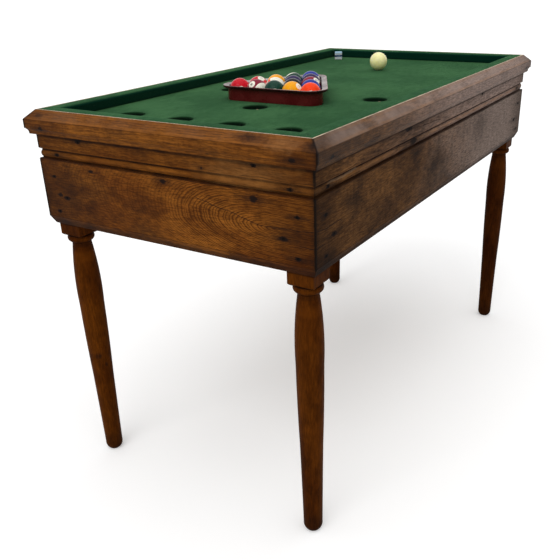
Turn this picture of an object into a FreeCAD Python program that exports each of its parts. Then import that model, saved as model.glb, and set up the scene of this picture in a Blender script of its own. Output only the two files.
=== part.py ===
import FreeCAD, Part
import math
import os

# Bar billiards table: a shallow box on four turned legs, with a cloth-covered bed that has
# round pocket holes, low cushions inside mitred cap rails, and a sloping board under the bed
# that brings potted balls to a trough at the player's end.
# The table's long axis is X and its short axis is Y. The floor is z = 0 and the origin is the
# middle of the footprint. The player stands at +X, so the player's left hand is the -Y side.
# A cross-section point is (inset, z): the distance in from the cap rails' outer face, and the
# height above the floor.

V = FreeCAD.Vector
UP = V(0, 0, 1)

CUT_OVER = 1.0  # how far a cutter runs past the faces that it cuts
SAME = 0.01  # sizes that differ by less are equal
NO_LENGTH = 1e-6  # an edge shorter than this is left out

# Overall sizes
table_length = 1325.0  # over the cap rails
table_width = 717.0
bed_height = 851.0  # floor to the playing cloth
cap_rise = 25.0  # cloth to the cap rails' inner edge

# Box
carcass_inset = 27.5  # cap rails' outer face to the outer face of the leg posts
apron_thickness = 13.0
apron_height = 149.0
apron_bevel_width = 8.5
apron_bevel_height = 18.0
apron_arris = 2.5
frieze_height = 50.0
frieze_thickness = 12.0
frieze_quirk = 5.0  # depth of the grooves on both sides of the bead
frieze_bead_width = 15.0
frieze_bead_rise = 2.4
frieze_lower_groove = 2.0
frieze_upper_groove = 1.5
frieze_chamfer = 3.0
bearer_thickness = 20.0
bearer_depth = 60.0

# Cap rails
cap_soffit_inset = 15.0
cap_fillet = 2.5
cap_cove_inset = 6.0
cap_cove_top_drop = 12.0
cap_cove_hollow = 1.5
cap_crease_rise = 6.5
cap_arris = 2.2
cap_top_width = 20.4  # also the bed's inset, since the bed ends at the rails' inner face

# Bed and pocket holes
bed_board_thickness = 26.0
cloth_thickness = 1.0
pocket_radius = 29.0
pocket_lining_depth = 14.0
end_row_inset = 162.5  # from the table's pocket end
end_row_spacing = 134.0
end_row_count = 4
centre_pocket_ahead = 183.0  # of the end row
side_pockets_ahead = 377.0
side_pocket_inset = 154.5  # from the table's long sides
tack_head_radius = 2.6
tack_head_rise = 0.9
tack_shank_radius = 0.6
tack_length = 9.0
tack_edge_gap = 1.2
tack_bearing = 222.0  # degrees round the pocket, from +X

# Cushions
feather_width = 3.0
feather_depth = 5.0
feather_end_gap = 0.2  # cut back from the mitre
cushion_back_inset = 40.0  # face of the wooden cushion rail, where the rubber is glued
cushion_crown = 26.0  # cloth to the highest line of the cushion
nose_centre_inset = 51.0
nose_radius = 4.4
nose_rise = 20.2  # cloth to the centre of the nose's rounding
cushion_foot_inset = 49.5

# Legs
leg_post = 58.0  # side of the square post
leg_block_drop = 30.0  # how far the square shows under the apron
leg_block_chamfer = 3.0
ring_radius = 30.0
ring_top_radius = 26.4
ring_height = 17.0
neck_radius = 21.6
neck_height = 6.0
shoulder_radius = 26.4
shoulder_drop = 42.0  # shoulder below the neck
belly_radius = 28.7
belly_drop = 152.0
thigh_radius = 27.6
thigh_drop = 242.0
knee_radius = 24.6
knee_drop = 347.0
shin_radius = 22.6
shin_drop = 452.0
foot_radius = 21.0
foot_round_height = 20.0
foot_swell = 2.8  # how far the foot's rounding bows out of a straight line
foot_tip_radius = 13.0

# Ball return
return_thickness = 12.0
return_slope = 2.5  # degrees
return_headroom = 60.0  # bed board to the return board's high end
return_side_gap = 7.0  # to the leg posts
return_start_gap = 7.0  # to the bearer
fence_height = 34.0
fence_thickness = 10.0
cross_bearer_count = 3
cross_bearer_thickness = 22.0
cross_bearer_depth = 40.0
cross_bearer_end_inset = 120.0  # from the return board's ends
trough_width = 69.0
trough_floor_rise = 25.0  # at the middle, above the apron's lower edge
trough_floor_thickness = 10.0
trough_slope = 3.0  # degrees, down to the middle
trough_back_thickness = 11.0
trough_end_gap = 0.5
outlet_width = 280.0
outlet_sill = 10.0  # above the trough's floor
outlet_height = 75.0
outlet_corner = 12.0

# Cut nails
nail_shank = 2.6
nail_head = 4.8
nail_head_depth = 1.2
nail_length = 30.0
bed_nail_length = 40.0
bed_nails_long = 5
bed_nails_short = 2
nail_post_depth = 24.0  # outer row, from the leg posts' outer face
nail_post_edge = 4.0  # inner nails, from the leg posts' inner edge
bead_nail_edge = 18.5  # bead nails, from the leg posts' inner edge
apron_nail_low = 33.0  # above the apron's lower edge
apron_nail_middle = 67.0
apron_nail_high = 38.0  # below the apron's upper edge
frieze_nail_drop = 6.0  # below the cap rail
frieze_nail_reach_long = 246.4  # from the middle of the long sides
frieze_nail_reach_short = 218.8  # from the middle of the ends

# Playing pieces
rest_gap = 0.3  # under each loose piece
ball_radius = 23.8
ball_pitch = 48.6
rack_row_ahead = 263.0  # the row of five, ahead of the end row of pockets
rack_order = ((3, 15, 6, 1, 5), (11, 13, 8, 10), (9, 4, 7), (14, 12), (2,))
rack_clearance = 2.0
rack_wall = 3.0
rack_height = 35.0
rack_flange_width = 10.6
rack_flange_thickness = 3.0
rack_flange_rise = 2.4  # from the wall out to the rim
rack_top_round = 1.5
rack_rim_width = 2.0
rack_rim_drop = 3.0
cue_ball_radius = 25.4
cue_ball_back = 319.5  # from the table's player's end
cue_ball_aside = 8.0
chalk_size = 24.0
chalk_edge = 1.5
chalk_bowl_margin = 3.0
chalk_bowl_depth = 3.0
chalk_back = 114.5  # from the table's player's end
chalk_inset = 106.5  # from the table's right side
chalk_turn = 28.0

# Heights and insets that follow from the sizes above
board_top = bed_height - cloth_thickness
board_bottom = board_top - bed_board_thickness
cap_top = bed_height + cap_rise
cap_bottom = board_bottom
apron_top = cap_bottom - frieze_height
apron_bottom = apron_top - apron_height
post_inner_inset = carcass_inset + leg_post
block_bottom = apron_bottom - leg_block_drop
loose_height = bed_height + rest_gap
end_row_x = end_row_inset - table_length / 2
centre_pocket_x = end_row_x + centre_pocket_ahead
side_pocket_x = end_row_x + side_pockets_ahead
side_pocket_y = table_width / 2 - side_pocket_inset
rack_row_x = end_row_x + rack_row_ahead
rack_side = (len(rack_order) - 1) * ball_pitch  # between two corner balls' centres
row_depth = ball_pitch * math.sqrt(3) / 2
return_start_x = carcass_inset + bearer_thickness + return_start_gap - table_length / 2
return_end_x = table_length / 2 - carcass_inset - trough_width
return_half_width = table_width / 2 - post_inner_inset - return_side_gap
return_start_height = board_bottom - return_headroom
trough_floor_height = apron_bottom + trough_floor_rise

# Each side as the run along it, the width across the table, and its turn about Z from -Y
SIDES = {
    "left_side": (table_length, table_width, 0),
    "player_end": (table_width, table_length, 90),
    "right_side": (table_length, table_width, 180),
    "pocket_end": (table_width, table_length, 270),
}
CORNERS = {
    "player_left": (1, -1),
    "player_right": (1, 1),
    "pocket_left": (-1, -1),
    "pocket_right": (-1, 1),
}


def face_from(points, to_vector):
    """A face inside the outline. An entry of four numbers is an arc: through, then to."""
    edges = []
    last = points[0]
    for entry in points[1:] + points[:1]:
        start = to_vector(*last)
        stop = to_vector(*entry[-2:])
        if len(entry) == 4:
            edges.append(Part.Arc(start, to_vector(*entry[:2]), stop).toShape())
        elif start.distanceToPoint(stop) > NO_LENGTH:
            edges.append(Part.makeLine(start, stop))
        last = entry[-2:]
    return Part.Face(Part.Wire(edges))


def rounded(start, corner, stop):
    """Outline entry that rounds a corner from start to stop, both as far from the corner."""
    share = 1 / (1 + math.dist(start, stop) / (2 * math.dist(start, corner)))
    middle = [(a + b) / 2 for a, b in zip(start, stop)]
    return (*(c + share * (m - c) for c, m in zip(corner, middle)), *stop)


def bowed(start, stop, swell):
    """Outline entry from start to stop that bows out to the right of the way by `swell`."""
    step = (stop[0] - start[0], stop[1] - start[1])
    share = swell / math.hypot(*step)
    middle = [(a + b) / 2 for a, b in zip(start, stop)]
    return (middle[0] + share * step[1], middle[1] - share * step[0], *stop)


def straight(points, start, stop, cross):
    """A cross-section carried along the -Y side of a table that is `cross` wide."""
    face = face_from(points, lambda inset, z: V(start, inset - cross / 2, z))
    return face.extrude(V(stop - start, 0, 0))


def mitred(points, run, cross):
    """A cross-section carried along the -Y side, with both ends cut to the corner mitres."""
    length = straight(points, -run / 2, run / 2, cross)
    depth = max(entry[-2] for entry in points) + CUT_OVER
    plan = [(-run / 2, 0), (run / 2, 0), (run / 2 - depth, depth), (depth - run / 2, depth)]
    low = min(entry[-1] for entry in points) - CUT_OVER
    high = max(entry[-1] for entry in points) + CUT_OVER
    wedge = face_from(plan, lambda x, inset: V(x, inset - cross / 2, low))
    return length.common(wedge.extrude(V(0, 0, high - low))).Solids[0]


def turned(shape, angle):
    """The shape turned about the table's middle."""
    copy = shape.copy()
    copy.rotate(V(0, 0, 0), UP, angle)
    return copy


def block(low, high):
    """A box between its low and high corners."""
    size = high - low
    return Part.makeBox(size.x, size.y, size.z, low)


def revolved(points):
    """A solid of revolution about Z from (radius, z) points."""
    face = face_from(points, lambda radius, z: V(radius, 0, z))
    return face.revolve(V(0, 0, 0), UP, 360)


def apron_section():
    """Lower board: bevelled along the bottom, with a worn upper edge."""
    face = carcass_inset - apron_thickness
    edge_start = (face, apron_top - apron_arris)
    return [
        (carcass_inset, apron_bottom),
        (face + apron_bevel_width, apron_bottom),
        (face, apron_bottom + apron_bevel_height),
        edge_start,
        rounded(edge_start, (face, apron_top), (face + apron_arris, apron_top)),
        (carcass_inset, apron_top),
    ]


def frieze_section():
    """Upper board: plain face over a bead that lies between two grooves."""
    face = carcass_inset - frieze_thickness
    quirk = face + frieze_quirk
    bead_low = apron_top + frieze_lower_groove
    bead_high = bead_low + frieze_bead_width
    groove_top = bead_high + frieze_upper_groove
    return [
        (carcass_inset, apron_top),
        (quirk, apron_top),
        (quirk, bead_low),
        (quirk - frieze_bead_rise, (bead_low + bead_high) / 2, quirk, bead_high),
        (quirk, groove_top),
        (face, groove_top + frieze_chamfer),
        (face, cap_bottom),
        (carcass_inset, cap_bottom),
    ]


def cap_section():
    """Cap rail: bevelled top, square edge, cove and soffit, and an upright inner face."""
    crease = bed_height + cap_crease_rise
    cove_start = (cap_cove_inset, cap_bottom + 2 * cap_fillet)
    cove_stop = (0, bed_height - cap_cove_top_drop)
    slope = math.atan2(cap_top - crease, cap_top_width)
    edge_start = (0, crease - cap_arris)
    edge_stop = (cap_arris * math.cos(slope), crease + cap_arris * math.sin(slope))
    return [
        (cap_top_width, cap_bottom),
        (cap_soffit_inset, cap_bottom),
        (cap_soffit_inset, cap_bottom + cap_fillet),
        (cap_cove_inset, cap_bottom + cap_fillet),
        cove_start,
        bowed(cove_start, cove_stop, cap_cove_hollow),
        edge_start,
        rounded(edge_start, (0, crease), edge_stop),
        (cap_top_width, cap_top),
    ]


def cushion_top(inset):
    """Height of the wooden cushion rail's gently rising top."""
    low = cap_top - cloth_thickness
    high = bed_height + cushion_crown - cloth_thickness
    start = cap_top_width + feather_width
    return low + (high - low) * (inset - start) / (cushion_back_inset - start)


def cushion_rail_section():
    """Wooden rail behind the rubber, rebated for the feather strip."""
    strip = cap_top_width + feather_width
    return [
        (cap_top_width, bed_height),
        (cushion_back_inset, bed_height),
        (cushion_back_inset, cushion_top(cushion_back_inset)),
        (strip, cushion_top(strip)),
        (strip, cap_top - feather_depth),
        (cap_top_width, cap_top - feather_depth),
    ]


def feather_section():
    """Strip that wedges the cushion cloth against the cap rail."""
    strip = cap_top_width + feather_width
    low = cap_top - feather_depth
    return [(cap_top_width, low), (strip, low), (strip, cap_top), (cap_top_width, cap_top)]


def nose_angle(point, sign):
    """Direction from the nose's centre to where a line from the point is tangent to it."""
    centre_z = bed_height + nose_rise
    reach = math.hypot(point[0] - nose_centre_inset, point[1] - centre_z)
    bearing = math.atan2(point[1] - centre_z, point[0] - nose_centre_inset)
    return bearing + sign * math.acos(nose_radius / reach)


def on_nose(angle, radius):
    """A point round the nose's centre."""
    centre_z = bed_height + nose_rise
    return (nose_centre_inset + radius * math.cos(angle), centre_z + radius * math.sin(angle))


def cushion_outline():
    """The rubber's top and foot points and the two angles where they meet the round nose."""
    top = (cushion_back_inset, cushion_top(cushion_back_inset))
    foot = (cushion_foot_inset, bed_height + cloth_thickness)
    upper = nose_angle(top, -1)
    lower = nose_angle(foot, 1)
    return top, foot, upper, lower


def rubber_section():
    """Rubber: flat back and foot, and a round nose."""
    top, foot, upper, lower = cushion_outline()
    middle = (upper + lower) / 2
    return [
        top,
        on_nose(upper, nose_radius),
        (*on_nose(middle, nose_radius), *on_nose(lower, nose_radius)),
        foot,
        (cushion_back_inset, foot[1]),
    ]


def cushion_cloth_section():
    """Cloth from the feather strip over the rail and round the nose to under the rubber."""
    top, foot, upper, lower = cushion_outline()
    middle = (upper + lower) / 2
    outer = nose_radius + cloth_thickness
    strip = cap_top_width + feather_width
    under = on_nose(lower, outer)
    fall = (under[1] - bed_height) * math.tan(-lower)
    return [
        (strip, cushion_top(strip)),
        top,
        on_nose(upper, nose_radius),
        (*on_nose(middle, nose_radius), *on_nose(lower, nose_radius)),
        foot,
        (cushion_back_inset, foot[1]),
        (cushion_back_inset, bed_height),
        (under[0] - fall, bed_height),
        under,
        (*on_nose(middle, outer), *on_nose(upper, outer)),
        (top[0], top[1] + cloth_thickness),
        (strip, cap_top),
    ]


def bearer_section():
    """Batten behind the frieze that carries the bed board."""
    inner = carcass_inset + bearer_thickness
    low = board_bottom - bearer_depth
    return [(carcass_inset, low), (inner, low), (inner, board_bottom), (carcass_inset, board_bottom)]


def pocket_places():
    """Centres of the pocket holes."""
    first = -(end_row_count - 1) / 2
    row = [(end_row_x, (first + n) * end_row_spacing) for n in range(end_row_count)]
    sides = [(side_pocket_x, side_pocket_y), (side_pocket_x, -side_pocket_y)]
    return row + [(centre_pocket_x, 0.0)] + sides


def pocket_cylinders(radius, low, high):
    """A cylinder at each pocket hole, between two heights."""
    return [Part.makeCylinder(radius, high - low, V(x, y, low)) for x, y in pocket_places()]


def cloth_tacks():
    """One dome-headed tack beside each pocket, through the cloth into the board."""
    reach = pocket_radius + cloth_thickness + tack_edge_gap + tack_head_radius
    profile = [
        (0, bed_height - tack_length),
        (tack_shank_radius, bed_height - tack_length),
        (tack_shank_radius, bed_height),
        (tack_head_radius, bed_height),
        (tack_head_radius - tack_head_rise, bed_height + tack_head_rise),
        (0, bed_height + tack_head_rise),
    ]
    tack = revolved(profile)
    turn = math.radians(tack_bearing)
    return [
        tack.translated(V(x + reach * math.cos(turn), y + reach * math.sin(turn), 0))
        for x, y in pocket_places()
    ]


def cut_nail(head, direction, length):
    """A square cut nail with its flat head flush at the point `head`."""
    half = nail_shank / 2
    wide = nail_head / 2
    shank = block(V(-half, -half, nail_head_depth), V(half, half, length))
    top = block(V(-wide, -wide, 0), V(wide, wide, nail_head_depth))
    nail = top.fuse(shank)
    nail.Placement = FreeCAD.Placement(head, FreeCAD.Rotation(UP, direction))
    return nail.Solids[0]


def bed_nails():
    """Nails down through the bed board into the bearers."""
    inset = carcass_inset + bearer_thickness / 2
    nails = []
    for run, cross, angle in SIDES.values():
        count = bed_nails_long if run > cross else bed_nails_short
        clear = run - 2 * post_inner_inset
        for n in range(count):
            x = clear * ((n + 0.5) / count - 0.5)
            place = V(x, inset - cross / 2, board_top)
            nails.append(turned(cut_nail(place, V(0, 0, -1), bed_nail_length), angle))
    return nails


def side_nails():
    """Nails through the aprons and beads into the leg posts, and the friezes into the bearers."""
    apron_face = carcass_inset - apron_thickness
    frieze_face = carcass_inset - frieze_thickness
    bead_face = frieze_face + frieze_quirk - frieze_bead_rise
    bead_middle = apron_top + frieze_lower_groove + frieze_bead_width / 2
    nails = []
    for run, cross, angle in SIDES.values():
        outer_row = run / 2 - carcass_inset - nail_post_depth
        post_edge = run / 2 - post_inner_inset
        reach = frieze_nail_reach_long if run > cross else frieze_nail_reach_short
        places = [
            (outer_row, apron_face, apron_bottom + apron_nail_low),
            (outer_row, apron_face, apron_top - apron_nail_high),
            (post_edge + nail_post_edge, apron_face, apron_bottom + apron_nail_middle),
            (post_edge + bead_nail_edge, bead_face, bead_middle),
            (reach, frieze_face, cap_bottom - frieze_nail_drop),
        ]
        for side in (-1, 1):
            for x, face, z in places:
                head = V(side * x, face - cross / 2, z)
                nails.append(turned(cut_nail(head, V(0, 1, 0), nail_length), angle))
    return nails


def leg():
    """Square post with a turned leg under it: ring, neck, long belly and rounded foot."""
    half = leg_post / 2
    ring_bottom = block_bottom - ring_height
    body_top = ring_bottom - neck_height
    post = block(V(-half, -half, block_bottom), V(half, half, board_bottom))
    lower_edges = [e for e in post.Edges if e.BoundBox.ZMax < block_bottom + SAME]
    post = post.makeChamfer(leg_block_chamfer, lower_edges)
    tip = (foot_tip_radius, 0)
    profile = [
        (0, 0),
        tip,
        bowed(tip, (foot_radius, foot_round_height), foot_swell),
        (shin_radius, body_top - shin_drop, knee_radius, body_top - knee_drop),
        (thigh_radius, body_top - thigh_drop, belly_radius, body_top - belly_drop),
        (shoulder_radius, body_top - shoulder_drop, neck_radius, body_top),
        (neck_radius, ring_bottom),
        (ring_radius, block_bottom - ring_height / 2, ring_top_radius, block_bottom),
        (0, block_bottom),
    ]
    return post.fuse(revolved(profile)).removeSplitter().Solids[0]


def return_height(x):
    """Top of the sloping return board."""
    return return_start_height - (x - return_start_x) * math.tan(math.radians(return_slope))


def sloping_strip(x_low, x_high, y_low, y_high, above_low, above_high):
    """A strip that follows the return board's slope, between two heights above its top."""
    outline = [
        (x_low, return_height(x_low) + above_low),
        (x_high, return_height(x_high) + above_low),
        (x_high, return_height(x_high) + above_high),
        (x_low, return_height(x_low) + above_high),
    ]
    face = face_from(outline, lambda x, z: V(x, y_low, z))
    return face.extrude(V(0, y_high - y_low, 0))


def return_board():
    """Board that potted balls roll down, towards the player's end."""
    half = return_half_width
    return sloping_strip(return_start_x, return_end_x, -half, half, -return_thickness, 0)


def return_fences():
    """Two battens that keep the balls on the return board."""
    inner = return_half_width - fence_thickness
    spans = ((inner, return_half_width), (-return_half_width, -inner))
    return [
        sloping_strip(return_start_x, return_end_x, low, high, 0, fence_height)
        for low, high in spans
    ]


def cross_bearers():
    """Battens from apron to apron that carry the return board."""
    half = table_width / 2 - carcass_inset
    low = -return_thickness - cross_bearer_depth
    first = return_start_x + cross_bearer_end_inset
    last = return_end_x - cross_bearer_end_inset
    half_wide = cross_bearer_thickness / 2
    bearers = []
    for n in range(cross_bearer_count):
        x = first + (last - first) * n / (cross_bearer_count - 1)
        ends = (x - half_wide, x + half_wide)
        bearers.append(sloping_strip(*ends, -half, half, low, -return_thickness))
    return bearers


def ball_trough():
    """Trough behind the outlet: a floor that falls to the middle, and a back."""
    front = table_length / 2 - carcass_inset
    back = return_end_x
    half = table_width / 2 - post_inner_inset - trough_end_gap
    rise = half * math.tan(math.radians(trough_slope))
    outline = [
        (0, trough_floor_height - trough_floor_thickness),
        (half, trough_floor_height - trough_floor_thickness),
        (half, trough_floor_height + rise),
        (0, trough_floor_height),
        (-half, trough_floor_height + rise),
        (-half, trough_floor_height - trough_floor_thickness),
    ]
    floor = face_from(outline, lambda y, z: V(back, y, z)).extrude(V(front - back, 0, 0))
    top = return_height(return_end_x) - return_thickness
    wall = block(
        V(back - trough_back_thickness, -half, trough_floor_height - trough_floor_thickness),
        V(back, half, top),
    )
    return floor.fuse(wall).removeSplitter().Solids[0]


def outlet_cutter():
    """The opening in the player's end apron."""
    face = table_length / 2 - carcass_inset
    bottom = trough_floor_height + outlet_sill
    low = V(face - CUT_OVER, -outlet_width / 2, bottom)
    high = V(table_length / 2, outlet_width / 2, bottom + outlet_height)
    box = block(low, high)
    along = [e for e in box.Edges if abs(e.BoundBox.XLength - (high.x - low.x)) < SAME]
    return box.makeFillet(outlet_corner, along)


def rack_section():
    """Upright wall with a flange round its top that rises outward and ends in a small rim.

    The first number is the distance out from the line through the outer balls' centres.
    """
    inner = ball_radius + rack_clearance
    outer = inner + rack_wall
    edge = outer + rack_flange_width
    top = loose_height + rack_height
    under_flange = top - rack_flange_thickness
    under_rim = under_flange - rack_rim_drop
    slope = rack_flange_rise / rack_flange_width
    round_start = (edge, top - rack_top_round)
    round_stop = (edge - rack_top_round, top - slope * rack_top_round)
    return [
        (inner, loose_height),
        (outer, loose_height),
        (outer, under_flange - rack_flange_rise),
        (edge - rack_rim_width, under_flange - slope * rack_rim_width),
        (edge - rack_rim_width, under_rim),
        (edge, under_rim),
        round_start,
        rounded(round_start, (edge, top), round_stop),
        (outer, top - rack_flange_rise),
        (inner, top - rack_flange_rise),
    ]


def rack_frame():
    """The triangle as its three sides and its three corners, which meet face to face."""
    low = V(rack_row_x, -rack_side / 2, 0)
    face = face_from(rack_section(), lambda out, z: V(low.x - out, low.y, z))
    side = face.extrude(V(0, rack_side, 0))
    corner = face.revolve(low, UP, 120)
    middle = V(rack_row_x + rack_side / math.sqrt(12), 0, 0)
    sides = []
    corners = []
    for angle in (0, 120, 240):
        for shape, group in ((side, sides), (corner, corners)):
            copy = shape.copy()
            copy.rotate(middle, UP, angle)
            group.append(copy)
    return sides, corners


def racked_balls():
    """The object balls by number, in rows from the row of five to the apex."""
    balls = {}
    for row, numbers in enumerate(rack_order):
        x = rack_row_x + row * row_depth
        for place, number in enumerate(numbers):
            y = ((len(numbers) - 1) / 2 - place) * ball_pitch
            centre = V(x, y, loose_height + ball_radius)
            balls[f"ball_{number:02d}"] = Part.makeSphere(ball_radius, centre)
    return balls


def chalk():
    """A cube of chalk, turned on the cloth, with a worn hollow in its top."""
    half = chalk_size / 2
    cube = block(V(-half, -half, 0), V(half, half, chalk_size))
    cube = cube.makeChamfer(chalk_edge, cube.Edges)
    span = half - chalk_bowl_margin
    sphere_radius = (span**2 + chalk_bowl_depth**2) / (2 * chalk_bowl_depth)
    bowl_centre = V(0, 0, chalk_size - chalk_bowl_depth + sphere_radius)
    cube = cube.cut(Part.makeSphere(sphere_radius, bowl_centre))
    cube.rotate(V(0, 0, 0), UP, chalk_turn)
    x = table_length / 2 - chalk_back
    y = table_width / 2 - chalk_inset
    return cube.translated(V(x, y, loose_height)).Solids[0]


def bed_blank(low, high):
    """The bed's plan between two heights."""
    x = table_length / 2 - cap_top_width
    y = table_width / 2 - cap_top_width
    return block(V(-x, -y, low), V(x, y, high))


def build():
    """All the table's pieces by node name."""
    pieces = {}
    tacks = cloth_tacks()
    nails_down = bed_nails()
    nails_in = side_nails()
    below = board_bottom - CUT_OVER
    shafts = pocket_cylinders(pocket_radius + cloth_thickness, below, board_top)
    throats = pocket_cylinders(pocket_radius, below, bed_height + CUT_OVER)
    linings = pocket_cylinders(
        pocket_radius + cloth_thickness, board_top - pocket_lining_depth, board_top
    )
    board = bed_blank(board_bottom, board_top)
    pieces["bed_board"] = board.cut(shafts + tacks + nails_down)
    cloth = bed_blank(board_top, bed_height).fuse(linings)
    pieces["bed_cloth"] = cloth.cut(throats + tacks).removeSplitter()
    pieces["cloth_tacks"] = Part.makeCompound(tacks)
    pieces["cut_nails"] = Part.makeCompound(nails_down + nails_in)

    frames = {
        "cap_rail": cap_section(),
        "frieze_board": frieze_section(),
        "apron_board": apron_section(),
        "cushion_rail": cushion_rail_section(),
        "cushion_rubber": rubber_section(),
        "cushion_cloth": cushion_cloth_section(),
    }
    feathers = []
    for side, (run, cross, angle) in SIDES.items():
        for name, section in frames.items():
            pieces[f"{name}_{side}"] = turned(mitred(section, run, cross), angle)
        feather = mitred(feather_section(), run - 2 * feather_end_gap, cross)
        feathers.append(turned(feather, angle))
        reach = run / 2 - post_inner_inset
        bearer = straight(bearer_section(), -reach, reach, cross)
        pieces[f"bearer_{side}"] = turned(bearer, angle).cut(nails_down + nails_in)
        for name in ("frieze_board", "apron_board"):
            pieces[f"{name}_{side}"] = pieces[f"{name}_{side}"].cut(nails_in)
    pieces["feather_strips"] = Part.makeCompound(feathers)
    pieces["apron_board_player_end"] = pieces["apron_board_player_end"].cut(outlet_cutter())

    blank = leg()
    reach = carcass_inset + leg_post / 2
    for corner, (along, across) in CORNERS.items():
        place = V(along * (table_length / 2 - reach), across * (table_width / 2 - reach), 0)
        pieces[f"leg_{corner}"] = blank.translated(place).cut(nails_in)

    pieces["return_board"] = return_board()
    pieces["return_fences"] = Part.makeCompound(return_fences())
    pieces["cross_bearers"] = Part.makeCompound(cross_bearers())
    pieces["ball_trough"] = ball_trough()

    sides, corners = rack_frame()
    pieces["rack_sides"] = Part.makeCompound(sides)
    pieces["rack_corners"] = Part.makeCompound(corners)
    pieces.update(racked_balls())
    cue_x = table_length / 2 - cue_ball_back
    cue_centre = V(cue_x, cue_ball_aside, loose_height + cue_ball_radius)
    pieces["cue_ball"] = Part.makeSphere(cue_ball_radius, cue_centre)
    pieces["chalk"] = chalk()
    return pieces


def main():
    os.makedirs("parts", exist_ok=True)
    for name, shape in build().items():
        shape.exportStep(f"parts/{name}.step")
        print(f"{name}: {len(shape.Solids)} solids, {shape.Volume / 1000:.1f} cm3")


main()
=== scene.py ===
"""Dress the bar billiards table: oak, stretched cloth, pool balls in their rack, chalk."""

import logging
import math
from dataclasses import dataclass, field
from enum import Enum

import bmesh
import bpy
from mathutils import Matrix, Vector, noise
from mathutils.geometry import delaunay_2d_cdt

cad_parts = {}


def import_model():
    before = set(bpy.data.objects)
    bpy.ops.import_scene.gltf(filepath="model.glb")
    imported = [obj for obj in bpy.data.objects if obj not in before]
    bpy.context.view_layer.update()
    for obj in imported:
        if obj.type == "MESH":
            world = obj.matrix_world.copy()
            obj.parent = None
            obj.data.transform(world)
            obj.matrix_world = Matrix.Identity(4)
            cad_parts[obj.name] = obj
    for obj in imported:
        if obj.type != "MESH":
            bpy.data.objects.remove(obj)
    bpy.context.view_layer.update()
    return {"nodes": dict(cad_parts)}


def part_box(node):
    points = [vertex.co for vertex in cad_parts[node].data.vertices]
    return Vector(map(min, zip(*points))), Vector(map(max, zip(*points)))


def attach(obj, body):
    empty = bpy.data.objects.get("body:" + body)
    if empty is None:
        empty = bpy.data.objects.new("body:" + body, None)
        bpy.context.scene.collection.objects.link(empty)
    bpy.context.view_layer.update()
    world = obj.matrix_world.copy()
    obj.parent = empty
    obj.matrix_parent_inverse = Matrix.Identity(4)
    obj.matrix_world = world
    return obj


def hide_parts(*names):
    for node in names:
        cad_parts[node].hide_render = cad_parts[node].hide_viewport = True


LOG = logging.getLogger("table")

Colour = tuple[float, float, float]
Point = tuple[float, float, float]
Pair = tuple[float, float]
Face = tuple[int, ...]
Socket, Tree = bpy.types.NodeSocket, bpy.types.NodeTree
Material, Object = bpy.types.Material, bpy.types.Object

TABLE_LENGTH = 1.325
TABLE_WIDTH = 0.717
BED_HEIGHT = 0.851
CAP_BOTTOM = 0.824
APRON_TOP = 0.774
APRON_BOTTOM = 0.625
BLOCK_BOTTOM = 0.595
RAIL_INSET = 0.0204
STRIP_INSET = 0.0234
FRIEZE_INSET = 0.0155
APRON_INSET = 0.0145
LEG_PLACE = (0.606, 0.302)
BALL_RADIUS = 0.0238
BALL_PITCH = 0.0486
RACK_ROW_X = -0.237
LOOSE_HEIGHT = 0.8513
CUSHION_CLOTH_SHORTER = 0.075
PI = 3.14159


class Grain(Enum):
    """The way that a board's grain runs: frame axes for along, across and through."""

    ALONG_X = ("X", "Z", "Y")
    ALONG_Y = ("Y", "Z", "X")
    FLAT_X = ("X", "Y", "Z")
    UPRIGHT = ("Z", "X", "Y")


class Side(Enum):
    """The table's four sides, each with the way that it faces."""

    LEFT_SIDE = (0, -1)
    RIGHT_SIDE = (0, 1)
    POCKET_END = (-1, 0)
    PLAYER_END = (1, 0)

    @property
    def label(self) -> str:
        """The side's name in the frame."""
        return self.name.lower()

    @property
    def long(self) -> bool:
        """Whether the side runs along the table."""
        return self.value[0] == 0

    def pick(self, on_long: object, on_end: object) -> object:
        """Choose between a value for the long sides and one for the ends."""
        return on_long if self.long else on_end

    @property
    def grain(self) -> Grain:
        """The way that the side's boards run."""
        return self.pick(Grain.ALONG_X, Grain.ALONG_Y)

    @property
    def half_run(self) -> float:
        """Half the length over the corners."""
        return self.pick(TABLE_LENGTH, TABLE_WIDTH) / 2

    @property
    def reach(self) -> float:
        """From the table's middle out to the side's face."""
        return self.pick(TABLE_WIDTH, TABLE_LENGTH) / 2

    def place(self, along: float, inset: float, height: float) -> Vector:
        """Turn a place on this side into a place in the frame.

        Args:
            along: Distance along the side from its middle.
            inset: Distance in from the side's outer face.
            height: Height over the floor.

        Returns:
            The place in the frame, in metres.
        """
        out = self.reach - inset
        x, y = self.value
        return Vector((along if self.long else x * out, y * out if self.long else along, height))


# ---------------------------------------------------------------- node trees


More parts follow.
